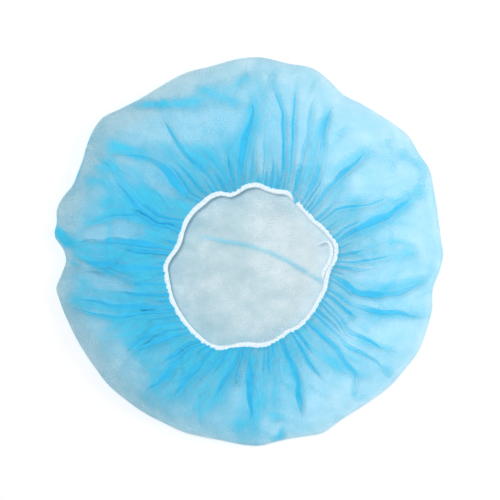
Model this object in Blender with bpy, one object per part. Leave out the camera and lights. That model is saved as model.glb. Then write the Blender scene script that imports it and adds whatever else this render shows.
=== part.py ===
"""Disposable bouffant cap lying flat with its crown down and its opening up.

Metres, +Z up. The photo's right is +X and the photo's top is +Y. The origin is the
middle of the resting footprint. The cap is one hollow shell of cloth: a flat back
layer, a turned edge and a gathered top layer that ends at the mouth. An elastic tape
is folded over the edge of the mouth and its free end lies beside it.
"""
import math

import bpy
from mathutils import Vector
from mathutils.geometry import delaunay_2d_cdt

# Named sizes. A 533 mm disc of cloth gathered on elastic and laid flat keeps
# twice OUTLINE_RADIUS less MOUTH_RADIUS at half the disc's diameter.
OUTLINE_RADIUS = 0.1671
MOUTH_RADIUS = 0.0677
WALL = 0.0010
CREST_HEIGHT = 0.0225
GATHER_DEPTH = 0.0028
PIECE_GAP = 0.0003
TAPE_WALL = 0.0009
TAPE_WIDTH = 0.0043
TAPE_CORNER = 0.0007
CREASE_HALF_WIDTH = 0.0016
CREASE_RISE = 0.0014

# Points round the cap, and each gather's spread round the mouth in degrees
ROUND_STEPS = 160
GATHER_SPREAD = 3.6

# The mouth's middle, as shares of OUTLINE_RADIUS from the outline's middle
MOUTH_OFFSET_X = 0.0103
MOUTH_OFFSET_Y = -0.0785

# Outline seen from above. Columns: bearing in degrees, share of OUTLINE_RADIUS
OUTLINE = (
    (2.3, 0.993), (11.1, 0.989), (18.6, 1.001), (24.4, 1.018), (30.2, 1.007), (35.9, 1.011),
    (39.6, 0.998), (45.0, 0.975), (52.4, 0.953), (59.3, 0.941), (65.1, 0.971), (70.1, 0.993),
    (78.2, 0.984), (87.0, 0.997), (92.4, 0.990), (100.6, 0.969), (110.3, 0.969), (119.0, 0.958),
    (126.6, 0.962), (133.0, 0.988), (137.4, 1.014), (141.1, 1.013), (146.0, 0.995), (151.5, 0.971),
    (156.5, 0.963), (159.7, 0.964), (163.3, 0.989), (167.5, 1.008), (171.5, 0.998), (176.1, 0.996),
    (179.0, 0.958), (182.4, 0.940), (187.3, 0.970), (190.8, 1.005), (195.0, 1.003), (202.6, 0.995),
    (209.7, 0.991), (217.2, 0.990), (224.0, 0.996), (230.5, 0.991), (237.0, 0.988), (244.2, 0.985),
    (250.1, 0.988), (255.3, 0.983), (261.7, 0.983), (268.0, 0.994), (272.6, 1.000), (279.6, 0.986),
    (287.2, 0.995), (291.7, 1.008), (298.2, 0.989), (306.0, 0.989), (314.6, 1.002), (322.5, 1.006),
    (330.1, 1.012), (337.0, 0.999), (342.1, 0.989), (348.7, 0.966), (354.5, 0.989), (359.1, 1.000),
)

# Mouth edge seen from above, about the mouth's middle.
# Columns: bearing in degrees, share of MOUTH_RADIUS
MOUTH = (
    (2.9, 1.035), (9.7, 1.081), (14.8, 1.087), (22.0, 1.046), (29.3, 1.000), (36.3, 0.962),
    (45.2, 0.962), (53.2, 0.973), (63.5, 1.015), (70.7, 0.980), (77.6, 0.980), (85.4, 1.009),
    (92.8, 0.990), (99.9, 0.938), (106.3, 0.922), (113.3, 0.980), (119.1, 0.994), (127.5, 0.982),
    (136.1, 0.985), (144.2, 0.975), (152.5, 0.954), (160.5, 0.933), (168.1, 0.956), (175.2, 1.020),
    (180.6, 1.057), (185.9, 1.054), (193.1, 1.053), (202.1, 1.063), (208.7, 1.067), (216.9, 1.070),
    (225.5, 1.081), (233.8, 1.094), (242.2, 1.109), (247.5, 1.096), (254.0, 1.053), (260.7, 0.994),
    (268.1, 0.972), (277.5, 0.990), (285.2, 0.982), (292.8, 0.958), (299.0, 0.935), (306.3, 0.956),
    (315.2, 0.956), (325.0, 0.948), (335.0, 0.944), (343.7, 0.959), (349.5, 0.953), (356.4, 0.972),
)

# Wall from the back layer to the mouth.
# Columns: share of the way in from the outline to the mouth, share of CREST_HEIGHT
SECTION = (
    (0.130, 0.000), (0.050, 0.030), (0.012, 0.110), (0.000, 0.230), (0.014, 0.370),
    (0.070, 0.530), (0.190, 0.760), (0.350, 0.930), (0.530, 1.000), (0.720, 0.960),
    (0.880, 0.820), (1.000, 0.667),
)

# Crests of the gathers round the mouth.
# Columns: bearing at the mouth in degrees, share of GATHER_DEPTH, share of the way out
# that it reaches, degrees that it leans by the time it meets the outline
GATHERS = (
    (4.0, 0.8, 0.55, 6.0), (17.0, 0.9, 0.60, 8.0), (31.0, 1.0, 0.70, 4.0), (45.0, 0.8, 0.55, 2.0),
    (57.0, 1.0, 0.75, -3.0), (68.0, 1.3, 0.95, 6.0), (80.0, 1.0, 0.80, 3.0), (94.0, 1.4, 0.95, -2.0),
    (105.0, 1.2, 0.90, 15.0), (119.0, 0.9, 0.65, 12.0), (133.0, 1.2, 0.80, 20.0), (146.0, 1.2, 0.85, 18.0),
    (159.0, 1.0, 0.70, 10.0), (172.0, 1.4, 0.90, 2.0), (184.0, 1.0, 0.70, -2.0), (197.0, 0.9, 0.60, -4.0),
    (210.0, 1.1, 0.75, 4.0), (222.0, 1.2, 0.80, 6.0), (234.0, 1.2, 0.80, 6.0), (246.0, 1.1, 0.75, 4.0),
    (258.0, 0.9, 0.65, 0.0), (270.0, 1.0, 0.70, -3.0), (282.0, 0.9, 0.65, -3.0), (293.0, 1.3, 0.90, -6.0),
    (307.0, 0.9, 0.60, 2.0), (321.0, 0.9, 0.60, 5.0), (335.0, 1.0, 0.70, 8.0), (348.0, 1.2, 0.75, 12.0),
)

# Broad swells and dents of the top layer.
# Columns: bearing in degrees, share of the way in, spread in degrees, spread as a share
# of the way in, share of CREST_HEIGHT
SWELLS = (
    (38.0, 0.45, 16.0, 0.26, 0.14), (128.0, 0.40, 14.0, 0.26, 0.12), (181.0, 0.20, 10.0, 0.26, -0.22),
    (215.0, 0.45, 18.0, 0.26, 0.10), (300.0, 0.50, 16.0, 0.26, 0.10), (349.0, 0.35, 10.0, 0.26, -0.18),
    (100.0, 0.35, 9.0, 0.26, -0.12), (60.0, 0.25, 9.0, 0.26, -0.14), (262.0, 0.40, 12.0, 0.26, -0.10),
)

# Crease of the back layer seen through the mouth.
# Columns: X and Y as shares of OUTLINE_RADIUS from the outline's middle
CREASE = (
    (-0.272, 0.082), (-0.133, 0.051), (0.010, 0.023), (0.113, -0.010),
    (0.205, -0.056), (0.303, -0.113), (0.377, -0.159),
)

# Lapped end of the tape beside the ring, then the tail turned inward on its edge.
# Columns: bearing at the mouth in degrees, and as shares of TAPE_WIDTH the distance
# inward from the ring, the width and the height
TAIL_PATH = (
    (-7.0, 0.42, 0.65, 0.33), (-2.5, 0.44, 0.72, 0.33), (2.0, 0.46, 0.74, 0.33), (6.5, 0.46, 0.74, 0.33),
    (11.0, 0.46, 0.72, 0.33), (14.5, 0.49, 0.63, 0.37), (17.0, 0.67, 0.42, 0.44), (18.4, 1.10, 0.30, 0.53),
    (18.6, 1.75, 0.28, 0.58), (18.0, 2.70, 0.28, 0.58),
)
TAIL_DROP_SHARE = 0.09


def wrap_degrees(angle):
    """Return an angle difference in degrees between -180 and 180."""
    return (angle + 180.0) % 360.0 - 180.0


def table_share(table, bearing):
    """Return the smooth share that a closed bearing table gives at a bearing."""
    count = len(table)
    for index in range(count):
        here = table[index]
        after = table[(index + 1) % count]
        span = (after[0] - here[0]) % 360.0
        step = (bearing - here[0]) % 360.0
        if step <= span:
            before = table[(index - 1) % count]
            beyond = table[(index + 2) % count]
            t = step / span
            slope_in = (after[1] - before[1]) / ((after[0] - before[0]) % 360.0) * span
            slope_out = (beyond[1] - here[1]) / ((beyond[0] - here[0]) % 360.0) * span
            return (
                (2.0 * t ** 3 - 3.0 * t ** 2 + 1.0) * here[1]
                + (t ** 3 - 2.0 * t ** 2 + t) * slope_in
                + (-2.0 * t ** 3 + 3.0 * t ** 2) * after[1]
                + (t ** 3 - t ** 2) * slope_out
            )
    return table[0][1]


def gather_height(bearing, way_in):
    """Return how far the gathers lift the top layer at a place, in metres."""
    total = 0.0
    for crest, depth, reach, lean in GATHERS:
        middle = crest + lean * (1.0 - way_in)
        away = wrap_degrees(bearing - middle)
        fade = max(0.0, (way_in - (1.0 - reach)) / reach)
        ridge = math.exp(-((away / GATHER_SPREAD) ** 2))
        total += GATHER_DEPTH * depth * fade * ridge
    return total


def swell_height(bearing, way_in):
    """Return how far the broad swells lift the top layer at a place, in metres."""
    total = 0.0
    for middle, depth_in, spread, spread_in, share in SWELLS:
        across = wrap_degrees(bearing - middle) / spread
        along = (way_in - depth_in) / spread_in
        total += CREST_HEIGHT * share * math.exp(-across ** 2 - along ** 2)
    return total


def wall_point(bearing, way_in, height_share, top_layer):
    """Return the middle of the wall at a bearing and a step of SECTION."""
    outer = OUTLINE_RADIUS * table_share(OUTLINE, bearing)
    inner = MOUTH_RADIUS * table_share(MOUTH, bearing)
    radius = outer + (inner - outer) * way_in
    centre_x = OUTLINE_RADIUS * MOUTH_OFFSET_X * way_in
    centre_y = OUTLINE_RADIUS * MOUTH_OFFSET_Y * way_in
    height = WALL / 2.0 + (CREST_HEIGHT - WALL / 2.0) * height_share
    if top_layer:
        height += gather_height(bearing, way_in) - 0.4 * GATHER_DEPTH * way_in
        height += swell_height(bearing, way_in)
    angle = math.radians(bearing)
    return Vector((
        centre_x + radius * math.cos(angle),
        centre_y + radius * math.sin(angle),
        height,
    ))


def section_rows():
    """Return SECTION with one more row where the tape's flanks end."""
    flank = (TAPE_WIDTH - TAPE_WALL - PIECE_GAP) / (OUTLINE_RADIUS - MOUTH_RADIUS)
    before, last = SECTION[-2], SECTION[-1]
    share = flank / (last[0] - before[0])
    height = last[1] + (before[1] - last[1]) * share
    return SECTION[:-1] + ((last[0] - flank, height), last)


def wall_rings():
    """Return the rings of wall middles, from the back layer's edge to the mouth."""
    rings = []
    turned = False
    for way_in, height_share in section_rows():
        if way_in == 0.0:
            turned = True
        ring = []
        for step in range(ROUND_STEPS):
            bearing = 360.0 * step / ROUND_STEPS
            ring.append(wall_point(bearing, way_in, height_share, turned and way_in > 0.0))
        rings.append(ring)
    return rings


def wall_normals(rings):
    """Return the outward unit normals of the rings of wall middles."""
    normals = []
    last = len(rings) - 1
    for row, ring in enumerate(rings):
        line = []
        for step in range(ROUND_STEPS):
            round_way = ring[(step + 1) % ROUND_STEPS] - ring[step - 1]
            inward_way = rings[min(row + 1, last)][step] - rings[max(row - 1, 0)][step]
            normal = round_way.cross(inward_way)
            normal.normalize()
            line.append(normal)
        normals.append(line)
    normals[0] = [Vector((0.0, 0.0, -1.0)) for _ in range(ROUND_STEPS)]
    return normals


def crease_points(side):
    """Return the crease's line moved sideways by a number of half widths."""
    line = [Vector((x * OUTLINE_RADIUS, y * OUTLINE_RADIUS)) for x, y in CREASE]
    moved = []
    for index, point in enumerate(line):
        before = line[max(index - 1, 0)]
        after = line[min(index + 1, len(line) - 1)]
        way = (after - before).normalized()
        ends = 0.15 if index in (0, len(line) - 1) else 1.0
        moved.append(point + Vector((-way.y, way.x)) * CREASE_HALF_WIDTH * side * ends)
    return moved


def back_layer_top(edge):
    """Return the faces of the back layer's upper side with its raised crease.

    The edge is the ring of upper points that the faces end at. The result is the
    list of added points and the list of triangles, with the edge's points first.
    """
    flat = [Vector((point.x, point.y)) for point in edge]
    lines = [crease_points(-1.0), crease_points(0.0), crease_points(1.0)]
    count = len(flat)
    edges = [(step, (step + 1) % count) for step in range(count)]
    heights = [point.z for point in edge]
    for row, line in enumerate(lines):
        first = len(flat)
        flat.extend(line)
        for step in range(len(line)):
            raised = row == 1 and 0 < step < len(line) - 1
            heights.append(WALL + (CREASE_RISE if raised else 0.0))
            if step > 0:
                edges.append((first + step - 1, first + step))
    points, _, faces, origins, _, _ = delaunay_2d_cdt(flat, edges, [], 1, 1e-7)
    places = []
    for index, point in enumerate(points):
        source = origins[index][0] if origins[index] else 0
        height = heights[source] if origins[index] else WALL
        places.append((point.x, point.y, height))
    order = [origins[index][0] if origins[index] else index for index in range(len(points))]
    return places, faces, order


def make_object(name, points, faces, material):
    """Make one mesh object with one material from points and faces."""
    mesh = bpy.data.meshes.new(name)
    mesh.from_pydata([tuple(point) for point in points], [], faces)
    mesh.validate()
    mesh.update()
    mesh.materials.append(material)
    made = bpy.data.objects.new(name, mesh)
    bpy.context.scene.collection.objects.link(made)
    return made


def split_square(a, b, c, d, from_a):
    """Return a square's two triangles, cut from corner a to c or from b to d."""
    if from_a:
        return [(a, b, c), (a, c, d)]
    return [(a, b, d), (b, c, d)]


def cloth_body(rings, normals, material):
    """Make the hollow shell of cloth from the wall's middles and normals."""
    outside = []
    inside = []
    for ring, line in zip(rings, normals):
        outside.append([point + way * (WALL / 2.0) for point, way in zip(ring, line)])
        inside.append([point - way * (WALL / 2.0) for point, way in zip(ring, line)])
    rows = outside + inside[::-1]
    ring_numbers = list(range(len(rings))) + list(range(len(rings)))[::-1]
    points = [point for row in rows for point in row]
    faces = []
    for row in range(len(rows) - 1):
        here, beyond = ring_numbers[row], ring_numbers[row + 1]
        for step in range(ROUND_STEPS):
            after = (step + 1) % ROUND_STEPS
            a = row * ROUND_STEPS + step
            b = row * ROUND_STEPS + after
            c = (row + 1) * ROUND_STEPS + after
            d = (row + 1) * ROUND_STEPS + step
            rising = (step + min(here, beyond)) % 2 == 0
            faces.extend(split_square(a, b, c, d, rising == (here < beyond)))
    faces.append(tuple(reversed(range(ROUND_STEPS))))
    first = (len(rows) - 1) * ROUND_STEPS
    places, triangles, order = back_layer_top(rows[-1])
    numbers = {}
    for index, source in enumerate(order):
        if source < ROUND_STEPS:
            numbers[index] = first + source
        else:
            numbers[index] = len(points)
            points.append(Vector(places[index]))
    for triangle in triangles:
        faces.append(tuple(numbers[corner] for corner in triangle))
    return make_object("cap_cloth", points, faces, material)


def tape_body(rings, normals, material):
    """Make the tape folded over the cloth's edge all round the mouth."""
    clear = WALL / 2.0 + PIECE_GAP
    full = clear + TAPE_WALL
    end = PIECE_GAP + TAPE_WALL
    # Columns: rings back from the cloth's edge, metres past it, metres along the normal
    section = (
        (0, end, -full + TAPE_CORNER), (0, end, full - TAPE_CORNER), (0, end - TAPE_CORNER, full),
        (1, 0.0, full), (1, 0.0, clear), (0, PIECE_GAP, clear),
        (0, PIECE_GAP, -clear), (1, 0.0, -clear), (1, 0.0, -full),
        (0, end - TAPE_CORNER, -full),
    )
    last = len(rings) - 1
    points = []
    for step in range(ROUND_STEPS):
        inward = (rings[last][step] - rings[last - 1][step]).normalized()
        for back, past, up in section:
            middle = rings[last - back][step]
            points.append(middle + inward * past + normals[last - back][step] * up)
    size = len(section)
    faces = []
    for step in range(ROUND_STEPS):
        after = (step + 1) % ROUND_STEPS
        for corner in range(size):
            beyond = (corner + 1) % size
            a = step * size + corner
            b = step * size + beyond
            c = after * size + beyond
            d = after * size + corner
            rising = (step + last - 1) % 2 == 0
            faces.extend(split_square(a, b, c, d, rising == (section[corner][0] == 1)))
    return make_object("elastic_binding", points, faces, material)


def tail_body(material):
    """Make the lapped end of the tape and the tail turned inward on its edge."""
    line = []
    for bearing, inward, _, _ in TAIL_PATH:
        edge = wall_point(bearing, 1.0, SECTION[-1][1], True)
        angle = math.radians(bearing)
        beyond = TAPE_WALL + 2.0 * PIECE_GAP + inward * TAPE_WIDTH
        line.append(edge + Vector((
            -math.cos(angle) * beyond,
            -math.sin(angle) * beyond,
            -TAIL_DROP_SHARE * TAPE_WIDTH,
        )))
    points = []
    for index, point in enumerate(line):
        before = line[max(index - 1, 0)]
        after = line[min(index + 1, len(line) - 1)]
        way = after - before
        side = Vector((-way.y, way.x, 0.0)).normalized() * (TAIL_PATH[index][2] * TAPE_WIDTH / 2.0)
        up = Vector((0.0, 0.0, TAIL_PATH[index][3] * TAPE_WIDTH / 2.0))
        points.extend([point - side - up, point + side - up, point + side + up, point - side + up])
    faces = []
    for index in range(len(line) - 1):
        for corner in range(4):
            a = index * 4 + corner
            b = index * 4 + (corner + 1) % 4
            faces.append((a, b + 4, a + 4))
            faces.append((a, b, b + 4))
    end = (len(line) - 1) * 4
    faces.append((3, 2, 1, 0))
    faces.append((end, end + 1, end + 2, end + 3))
    return make_object("binding_tail", points, faces, material)


def centre_on_origin(pieces):
    """Move all pieces so that the footprint's box is centred on the origin."""
    corners = [vertex.co for piece in pieces for vertex in piece.data.vertices]
    low_x = min(corner.x for corner in corners)
    high_x = max(corner.x for corner in corners)
    low_y = min(corner.y for corner in corners)
    high_y = max(corner.y for corner in corners)
    low_z = min(corner.z for corner in corners)
    move = Vector((-(low_x + high_x) / 2.0, -(low_y + high_y) / 2.0, -low_z))
    for piece in pieces:
        for vertex in piece.data.vertices:
            vertex.co += move


def plain_material(name, colour, roughness):
    """Make a material with one colour and one roughness."""
    material = bpy.data.materials.new(name)
    material.use_nodes = True
    shader = material.node_tree.nodes["Principled BSDF"]
    shader.inputs["Base Color"].default_value = colour
    shader.inputs["Roughness"].default_value = roughness
    shader.inputs["Metallic"].default_value = 0.0
    return material


def main():
    """Build the three pieces of the cap."""
    for old in list(bpy.data.objects):
        bpy.data.objects.remove(old, do_unlink=True)
    cloth = plain_material("nonwoven_cloth", (0.12, 0.55, 0.86, 1.0), 0.75)
    tape = plain_material("elastic_tape", (0.86, 0.90, 0.92, 1.0), 0.65)
    rings = wall_rings()
    normals = wall_normals(rings)
    pieces = [cloth_body(rings, normals, cloth)]
    pieces.append(tape_body(rings, normals, tape))
    pieces.append(tail_body(tape))
    centre_on_origin(pieces)


main()
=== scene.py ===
"""Disposable bouffant cap, laid flat with its crown down and its opening up.

The cap is one thin sheet of nonwoven cloth: a back layer on the floor, a turned edge
and a gathered top layer. Its mouth is bound with a crinkled elastic tape, sewn with
thread, whose free end is lapped beside the ring and turned inward.
"""

import logging
import math
from dataclasses import dataclass
from enum import Enum
from typing import Dict, List, Sequence, Tuple, Union

import bpy
import numpy as np
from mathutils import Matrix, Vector

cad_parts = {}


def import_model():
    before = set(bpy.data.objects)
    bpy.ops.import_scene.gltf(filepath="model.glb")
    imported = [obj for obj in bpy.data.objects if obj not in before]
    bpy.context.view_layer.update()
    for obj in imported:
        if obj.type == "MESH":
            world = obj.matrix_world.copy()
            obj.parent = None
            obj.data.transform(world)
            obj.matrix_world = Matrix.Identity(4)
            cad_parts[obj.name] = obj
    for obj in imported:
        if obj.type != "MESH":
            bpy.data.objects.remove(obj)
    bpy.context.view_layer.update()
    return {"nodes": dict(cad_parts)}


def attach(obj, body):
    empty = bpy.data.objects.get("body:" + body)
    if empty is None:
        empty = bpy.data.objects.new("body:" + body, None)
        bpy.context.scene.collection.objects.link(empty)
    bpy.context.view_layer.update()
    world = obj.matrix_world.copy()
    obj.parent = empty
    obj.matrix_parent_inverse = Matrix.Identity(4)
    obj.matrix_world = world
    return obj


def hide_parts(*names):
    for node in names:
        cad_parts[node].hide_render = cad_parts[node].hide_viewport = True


LOG = logging.getLogger("bouffant_cap")

Colour = Tuple[float, float, float, float]
Triple = Tuple[float, float, float]
Values = Union[float, np.ndarray]
Faces = List[Tuple[int, ...]]
Table = Tuple[Tuple[float, ...], ...]
Feed = Union[bpy.types.NodeSocket, float, Sequence[float]]

# Outline seen from above. Columns: bearing in degrees, share of the outline radius
OUTLINE: Table = (
    (2.3, 0.993), (11.1, 0.989), (18.6, 1.001), (24.4, 1.018), (30.2, 1.007), (35.9, 1.011),
    (39.6, 0.998), (45.0, 0.975), (52.4, 0.953), (59.3, 0.941), (65.1, 0.971), (70.1, 0.993),
    (78.2, 0.984), (87.0, 0.997), (92.4, 0.990), (100.6, 0.969), (110.3, 0.969), (119.0, 0.958),
    (126.6, 0.962), (133.0, 0.988), (137.4, 1.014), (141.1, 1.013), (146.0, 0.995), (151.5, 0.971),
    (156.5, 0.963), (159.7, 0.964), (163.3, 0.989), (167.5, 1.008), (171.5, 0.998), (176.1, 0.996),
    (179.0, 0.958), (182.4, 0.940), (187.3, 0.970), (190.8, 1.005), (195.0, 1.003), (202.6, 0.995),
    (209.7, 0.991), (217.2, 0.990), (224.0, 0.996), (230.5, 0.991), (237.0, 0.988), (244.2, 0.985),
    (250.1, 0.988), (255.3, 0.983), (261.7, 0.983), (268.0, 0.994), (272.6, 1.000), (279.6, 0.986),
    (287.2, 0.995), (291.7, 1.008), (298.2, 0.989), (306.0, 0.989), (314.6, 1.002), (322.5, 1.006),
    (330.1, 1.012), (337.0, 0.999), (342.1, 0.989), (348.7, 0.966), (354.5, 0.989), (359.1, 1.000),
)

# Mouth edge about the mouth's middle. Columns: bearing in degrees, share of the mouth radius
MOUTH: Table = (
    (2.9, 1.035), (9.7, 1.081), (14.8, 1.087), (22.0, 1.046), (29.3, 1.000), (36.3, 0.962),
    (45.2, 0.962), (53.2, 0.973), (63.5, 1.015), (70.7, 0.980), (77.6, 0.980), (85.4, 1.009),
    (92.8, 0.990), (99.9, 0.938), (106.3, 0.922), (113.3, 0.980), (119.1, 0.994), (127.5, 0.982),
    (136.1, 0.985), (144.2, 0.975), (152.5, 0.954), (160.5, 0.933), (168.1, 0.956), (175.2, 1.020),
    (180.6, 1.057), (185.9, 1.054), (193.1, 1.053), (202.1, 1.063), (208.7, 1.067), (216.9, 1.070),
    (225.5, 1.081), (233.8, 1.094), (242.2, 1.109), (247.5, 1.096), (254.0, 1.053), (260.7, 0.994),
    (268.1, 0.972), (277.5, 0.990), (285.2, 0.982), (292.8, 0.958), (299.0, 0.935), (306.3, 0.956),
    (315.2, 0.956), (325.0, 0.948), (335.0, 0.944), (343.7, 0.959), (349.5, 0.953), (356.4, 0.972),
)

# Wall from the back layer to the mouth.
# Columns: share of the way in from the outline to the mouth, share of the crest height
SECTION: Table = (
    (0.130, 0.000), (0.050, 0.030), (0.012, 0.110), (0.000, 0.230), (0.014, 0.370),
    (0.070, 0.530), (0.190, 0.760), (0.350, 0.930), (0.530, 1.000), (0.720, 0.960),
    (0.880, 0.820), (1.000, 0.667),
)

# Row after which the wall is the top layer, and points in each row's run
SECTION_TURN = 3
SECTION_STEPS = 24

# Broad swells and dents of the top layer. Columns: bearing in degrees, share of the way
# in, spread in degrees, spread as a share of the way in, share of the crest height
SWELLS: Table = (
    (38.0, 0.45, 16.0, 0.26, 0.14), (128.0, 0.40, 14.0, 0.26, 0.12), (181.0, 0.20, 10.0, 0.26, -0.22),
    (215.0, 0.45, 18.0, 0.26, 0.10), (300.0, 0.50, 16.0, 0.26, 0.10), (349.0, 0.35, 10.0, 0.26, -0.18),
    (100.0, 0.35, 9.0, 0.26, -0.12), (60.0, 0.25, 9.0, 0.26, -0.14), (262.0, 0.40, 12.0, 0.26, -0.10),
)

# Crease of the back layer. Columns: X and Y as shares of the outline radius
CREASE: Table = (
    (-0.272, 0.082), (-0.133, 0.051), (0.010, 0.023), (0.113, -0.010),
    (0.205, -0.056), (0.303, -0.113), (0.385, -0.163), (0.440, -0.196),
)

# Lapped end of the tape and its tail. Columns: bearing at the mouth in degrees, and as
# shares of the tape width the distance inward from the ring, the width and the height
TAIL_PATH: Table = (
    (-11.5, 0.02, 0.120, 0.30), (-9.5, 0.12, 0.340, 0.33), (-7.0, 0.32, 0.715, 0.33),
    (-2.5, 0.34, 0.792, 0.33), (2.0, 0.36, 0.814, 0.33), (6.5, 0.36, 0.814, 0.33),
    (11.0, 0.36, 0.792, 0.33), (14.5, 0.39, 0.693, 0.37), (17.0, 0.57, 0.462, 0.44),
    (18.4, 1.00, 0.330, 0.53), (18.6, 1.65, 0.308, 0.58), (18.0, 2.60, 0.308, 0.58),
)

# Outline of the folded tape's section.
# Columns: share of the half width outward, share of the half thickness upward
TAPE_SECTION: Table = (
    (-1.0, 0.0), (-0.92, 0.62), (-0.6, 0.95), (-0.2, 1.0), (0.25, 1.0), (0.65, 0.97), (0.95, 0.85),
    (1.05, 0.55), (1.0, 0.0), (1.05, -0.55), (0.95, -0.85), (0.65, -0.97), (0.0, -1.0), (-0.6, -0.95),
    (-0.92, -0.62),
)

# Rings of the back layer, from its middle outward. Columns: share of the way out before
# the first ring, share between rings, number of rings, part of the mouth's points
BACK_RINGS: Tuple[Tuple[float, float, int, int], ...] = (
    (0.0, 0.010, 3, 24), (0.030, 0.0125, 6, 12), (0.105, 0.0083, 43, 4), (0.462, 0.0415, 12, 2),
)


class Lay(Enum):
    """Which way round the cap a fold is laid over."""

    ANTICLOCKWISE = 1.0
    CLOCKWISE = -1.0


@dataclass(frozen=True)
class Fold:
    """One long fold of the gathered top layer.

    Attributes:
        width: Widest overlap in metres.
        height: Height of its roll in metres.
        lay: Which way it is laid over.
        line: Its upper edge from the mouth outward, X and Y as shares of the outline radius.
    """

    width: float
    height: float
    lay: Lay
    line: Table


@dataclass(frozen=True)
class Crease:
    """One crease or soft band that doesn't run out from the mouth.

    Attributes:
        spread: Half width in metres.
        rise: Height in metres.
        layers: Extra layers of cloth along it.
        line: Its run, X and Y as shares of the outline radius.
    """

    spread: float
    rise: float
    layers: float
    line: Table


def shares(thousandths: Sequence[int]) -> Table:
    """Pair up thousandths of the outline radius as X and Y shares."""
    return tuple((x / 1000.0, y / 1000.0) for x, y in zip(thousandths[::2], thousandths[1::2]))


LEFT = Lay.ANTICLOCKWISE
RIGHT = Lay.CLOCKWISE

# Long folds. Columns: widest overlap and height in tenths of a millimetre, which way it is
# laid over, then X and Y of its points from the mouth outward, as thousandths of the
# outline radius
FOLD_ROWS: Tuple[tuple, ...] = (
    (24, 34, RIGHT, 165, 329, 178, 392, 196, 588, 178, 699, 145, 811, 99, 919),
    (20, 30, LEFT, 196, 329, 217, 425, 214, 523, 217, 668, 236, 765, 256, 909),
    (66, 26, RIGHT, -40, 334, -33, 386, -6, 562, 32, 719, -19, 837),
    (36, 30, LEFT, -101, 314, -124, 379, -183, 457, -307, 549),
    (32, 28, RIGHT, -137, 283, -209, 392, -314, 496, -399, 614, -471, 740),
    (62, 24, RIGHT, -230, 242, -317, 283, -378, 391, -471, 473, -722, 468),
    (50, 30, RIGHT, -322, 134, -455, 150, -550, 216, -602, 281, -739, 464),
    (56, 30, LEFT, -337, 78, -506, 181, -660, 181, -824, 124),
    (58, 24, LEFT, -394, 6, -558, 22, -763, 42, -937, 57),
    (58, 24, RIGHT, -424, -86, -558, -76, -763, -55, -917, -25),
    (40, 26, RIGHT, -419, -168, -550, -158, -706, -99, -883, -19),
    (52, 24, RIGHT, -399, -276, -558, -271, -763, -261, -937, -230),
    (30, 28, LEFT, -373, -312, -481, -317, -630, -335, -773, -327, -927, -291),
    (42, 34, RIGHT, -337, -363, -379, -361, -471, -381, -563, -460, -674, -543),
    (46, 26, LEFT, -301, -420, -373, -435, -506, -481, -635, -543),
    (50, 26, RIGHT, -230, -476, -281, -486, -379, -570, -445, -635, -563, -760),
    (50, 26, LEFT, -173, -507, -190, -517, -301, -649, -405, -779),
    (30, 26, RIGHT, -127, -512, -144, -532, -242, -640, -301, -738),
    (50, 30, LEFT, -45, -512, -46, -531, -98, -623, -151, -714, -196, -786),
    (56, 22, LEFT, 12, -507, 17, -661, 27, -922), (24, 26, LEFT, 83, -496, 78, -584, 73, -695),
    (58, 30, LEFT, 186, -471, 196, -505, 236, -570, 263, -714, 288, -911),
    (40, 28, LEFT, 237, -440, 321, -570, 355, -616, 391, -722),
    (42, 22, RIGHT, 304, -378, 437, -507, 530, -620, 530, -763),
    (42, 22, LEFT, 335, -317, 494, -455, 662, -570, 727, -649),
    (42, 26, LEFT, 371, -240, 519, -404, 642, -466, 753, -517),
    (46, 22, RIGHT, 396, -194, 494, -266, 622, -317, 805, -335, 950, -335),
    (62, 24, RIGHT, 417, -127, 537, -224, 673, -250, 805, -209, 981, -112),
    (30, 22, LEFT, 432, -55, 530, -55, 647, -35, 776, -4),
    (62, 24, RIGHT, 458, 42, 519, 83, 622, 129, 740, 181, 837, 263, 878, 365),
    (30, 22, RIGHT, 417, 181, 453, 209, 616, 227, 755, 273),
    (52, 24, RIGHT, 355, 237, 413, 316, 544, 432, 636, 536),
    (52, 26, LEFT, 283, 273, 324, 365, 360, 519, 400, 683, 465, 778),
    (50, 22, RIGHT, 242, 304, 278, 442, 309, 614, 340, 765, 371, 847),
    (24, 22, LEFT, 68, 355, 78, 468, 73, 560, 88, 647),
)

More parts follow.
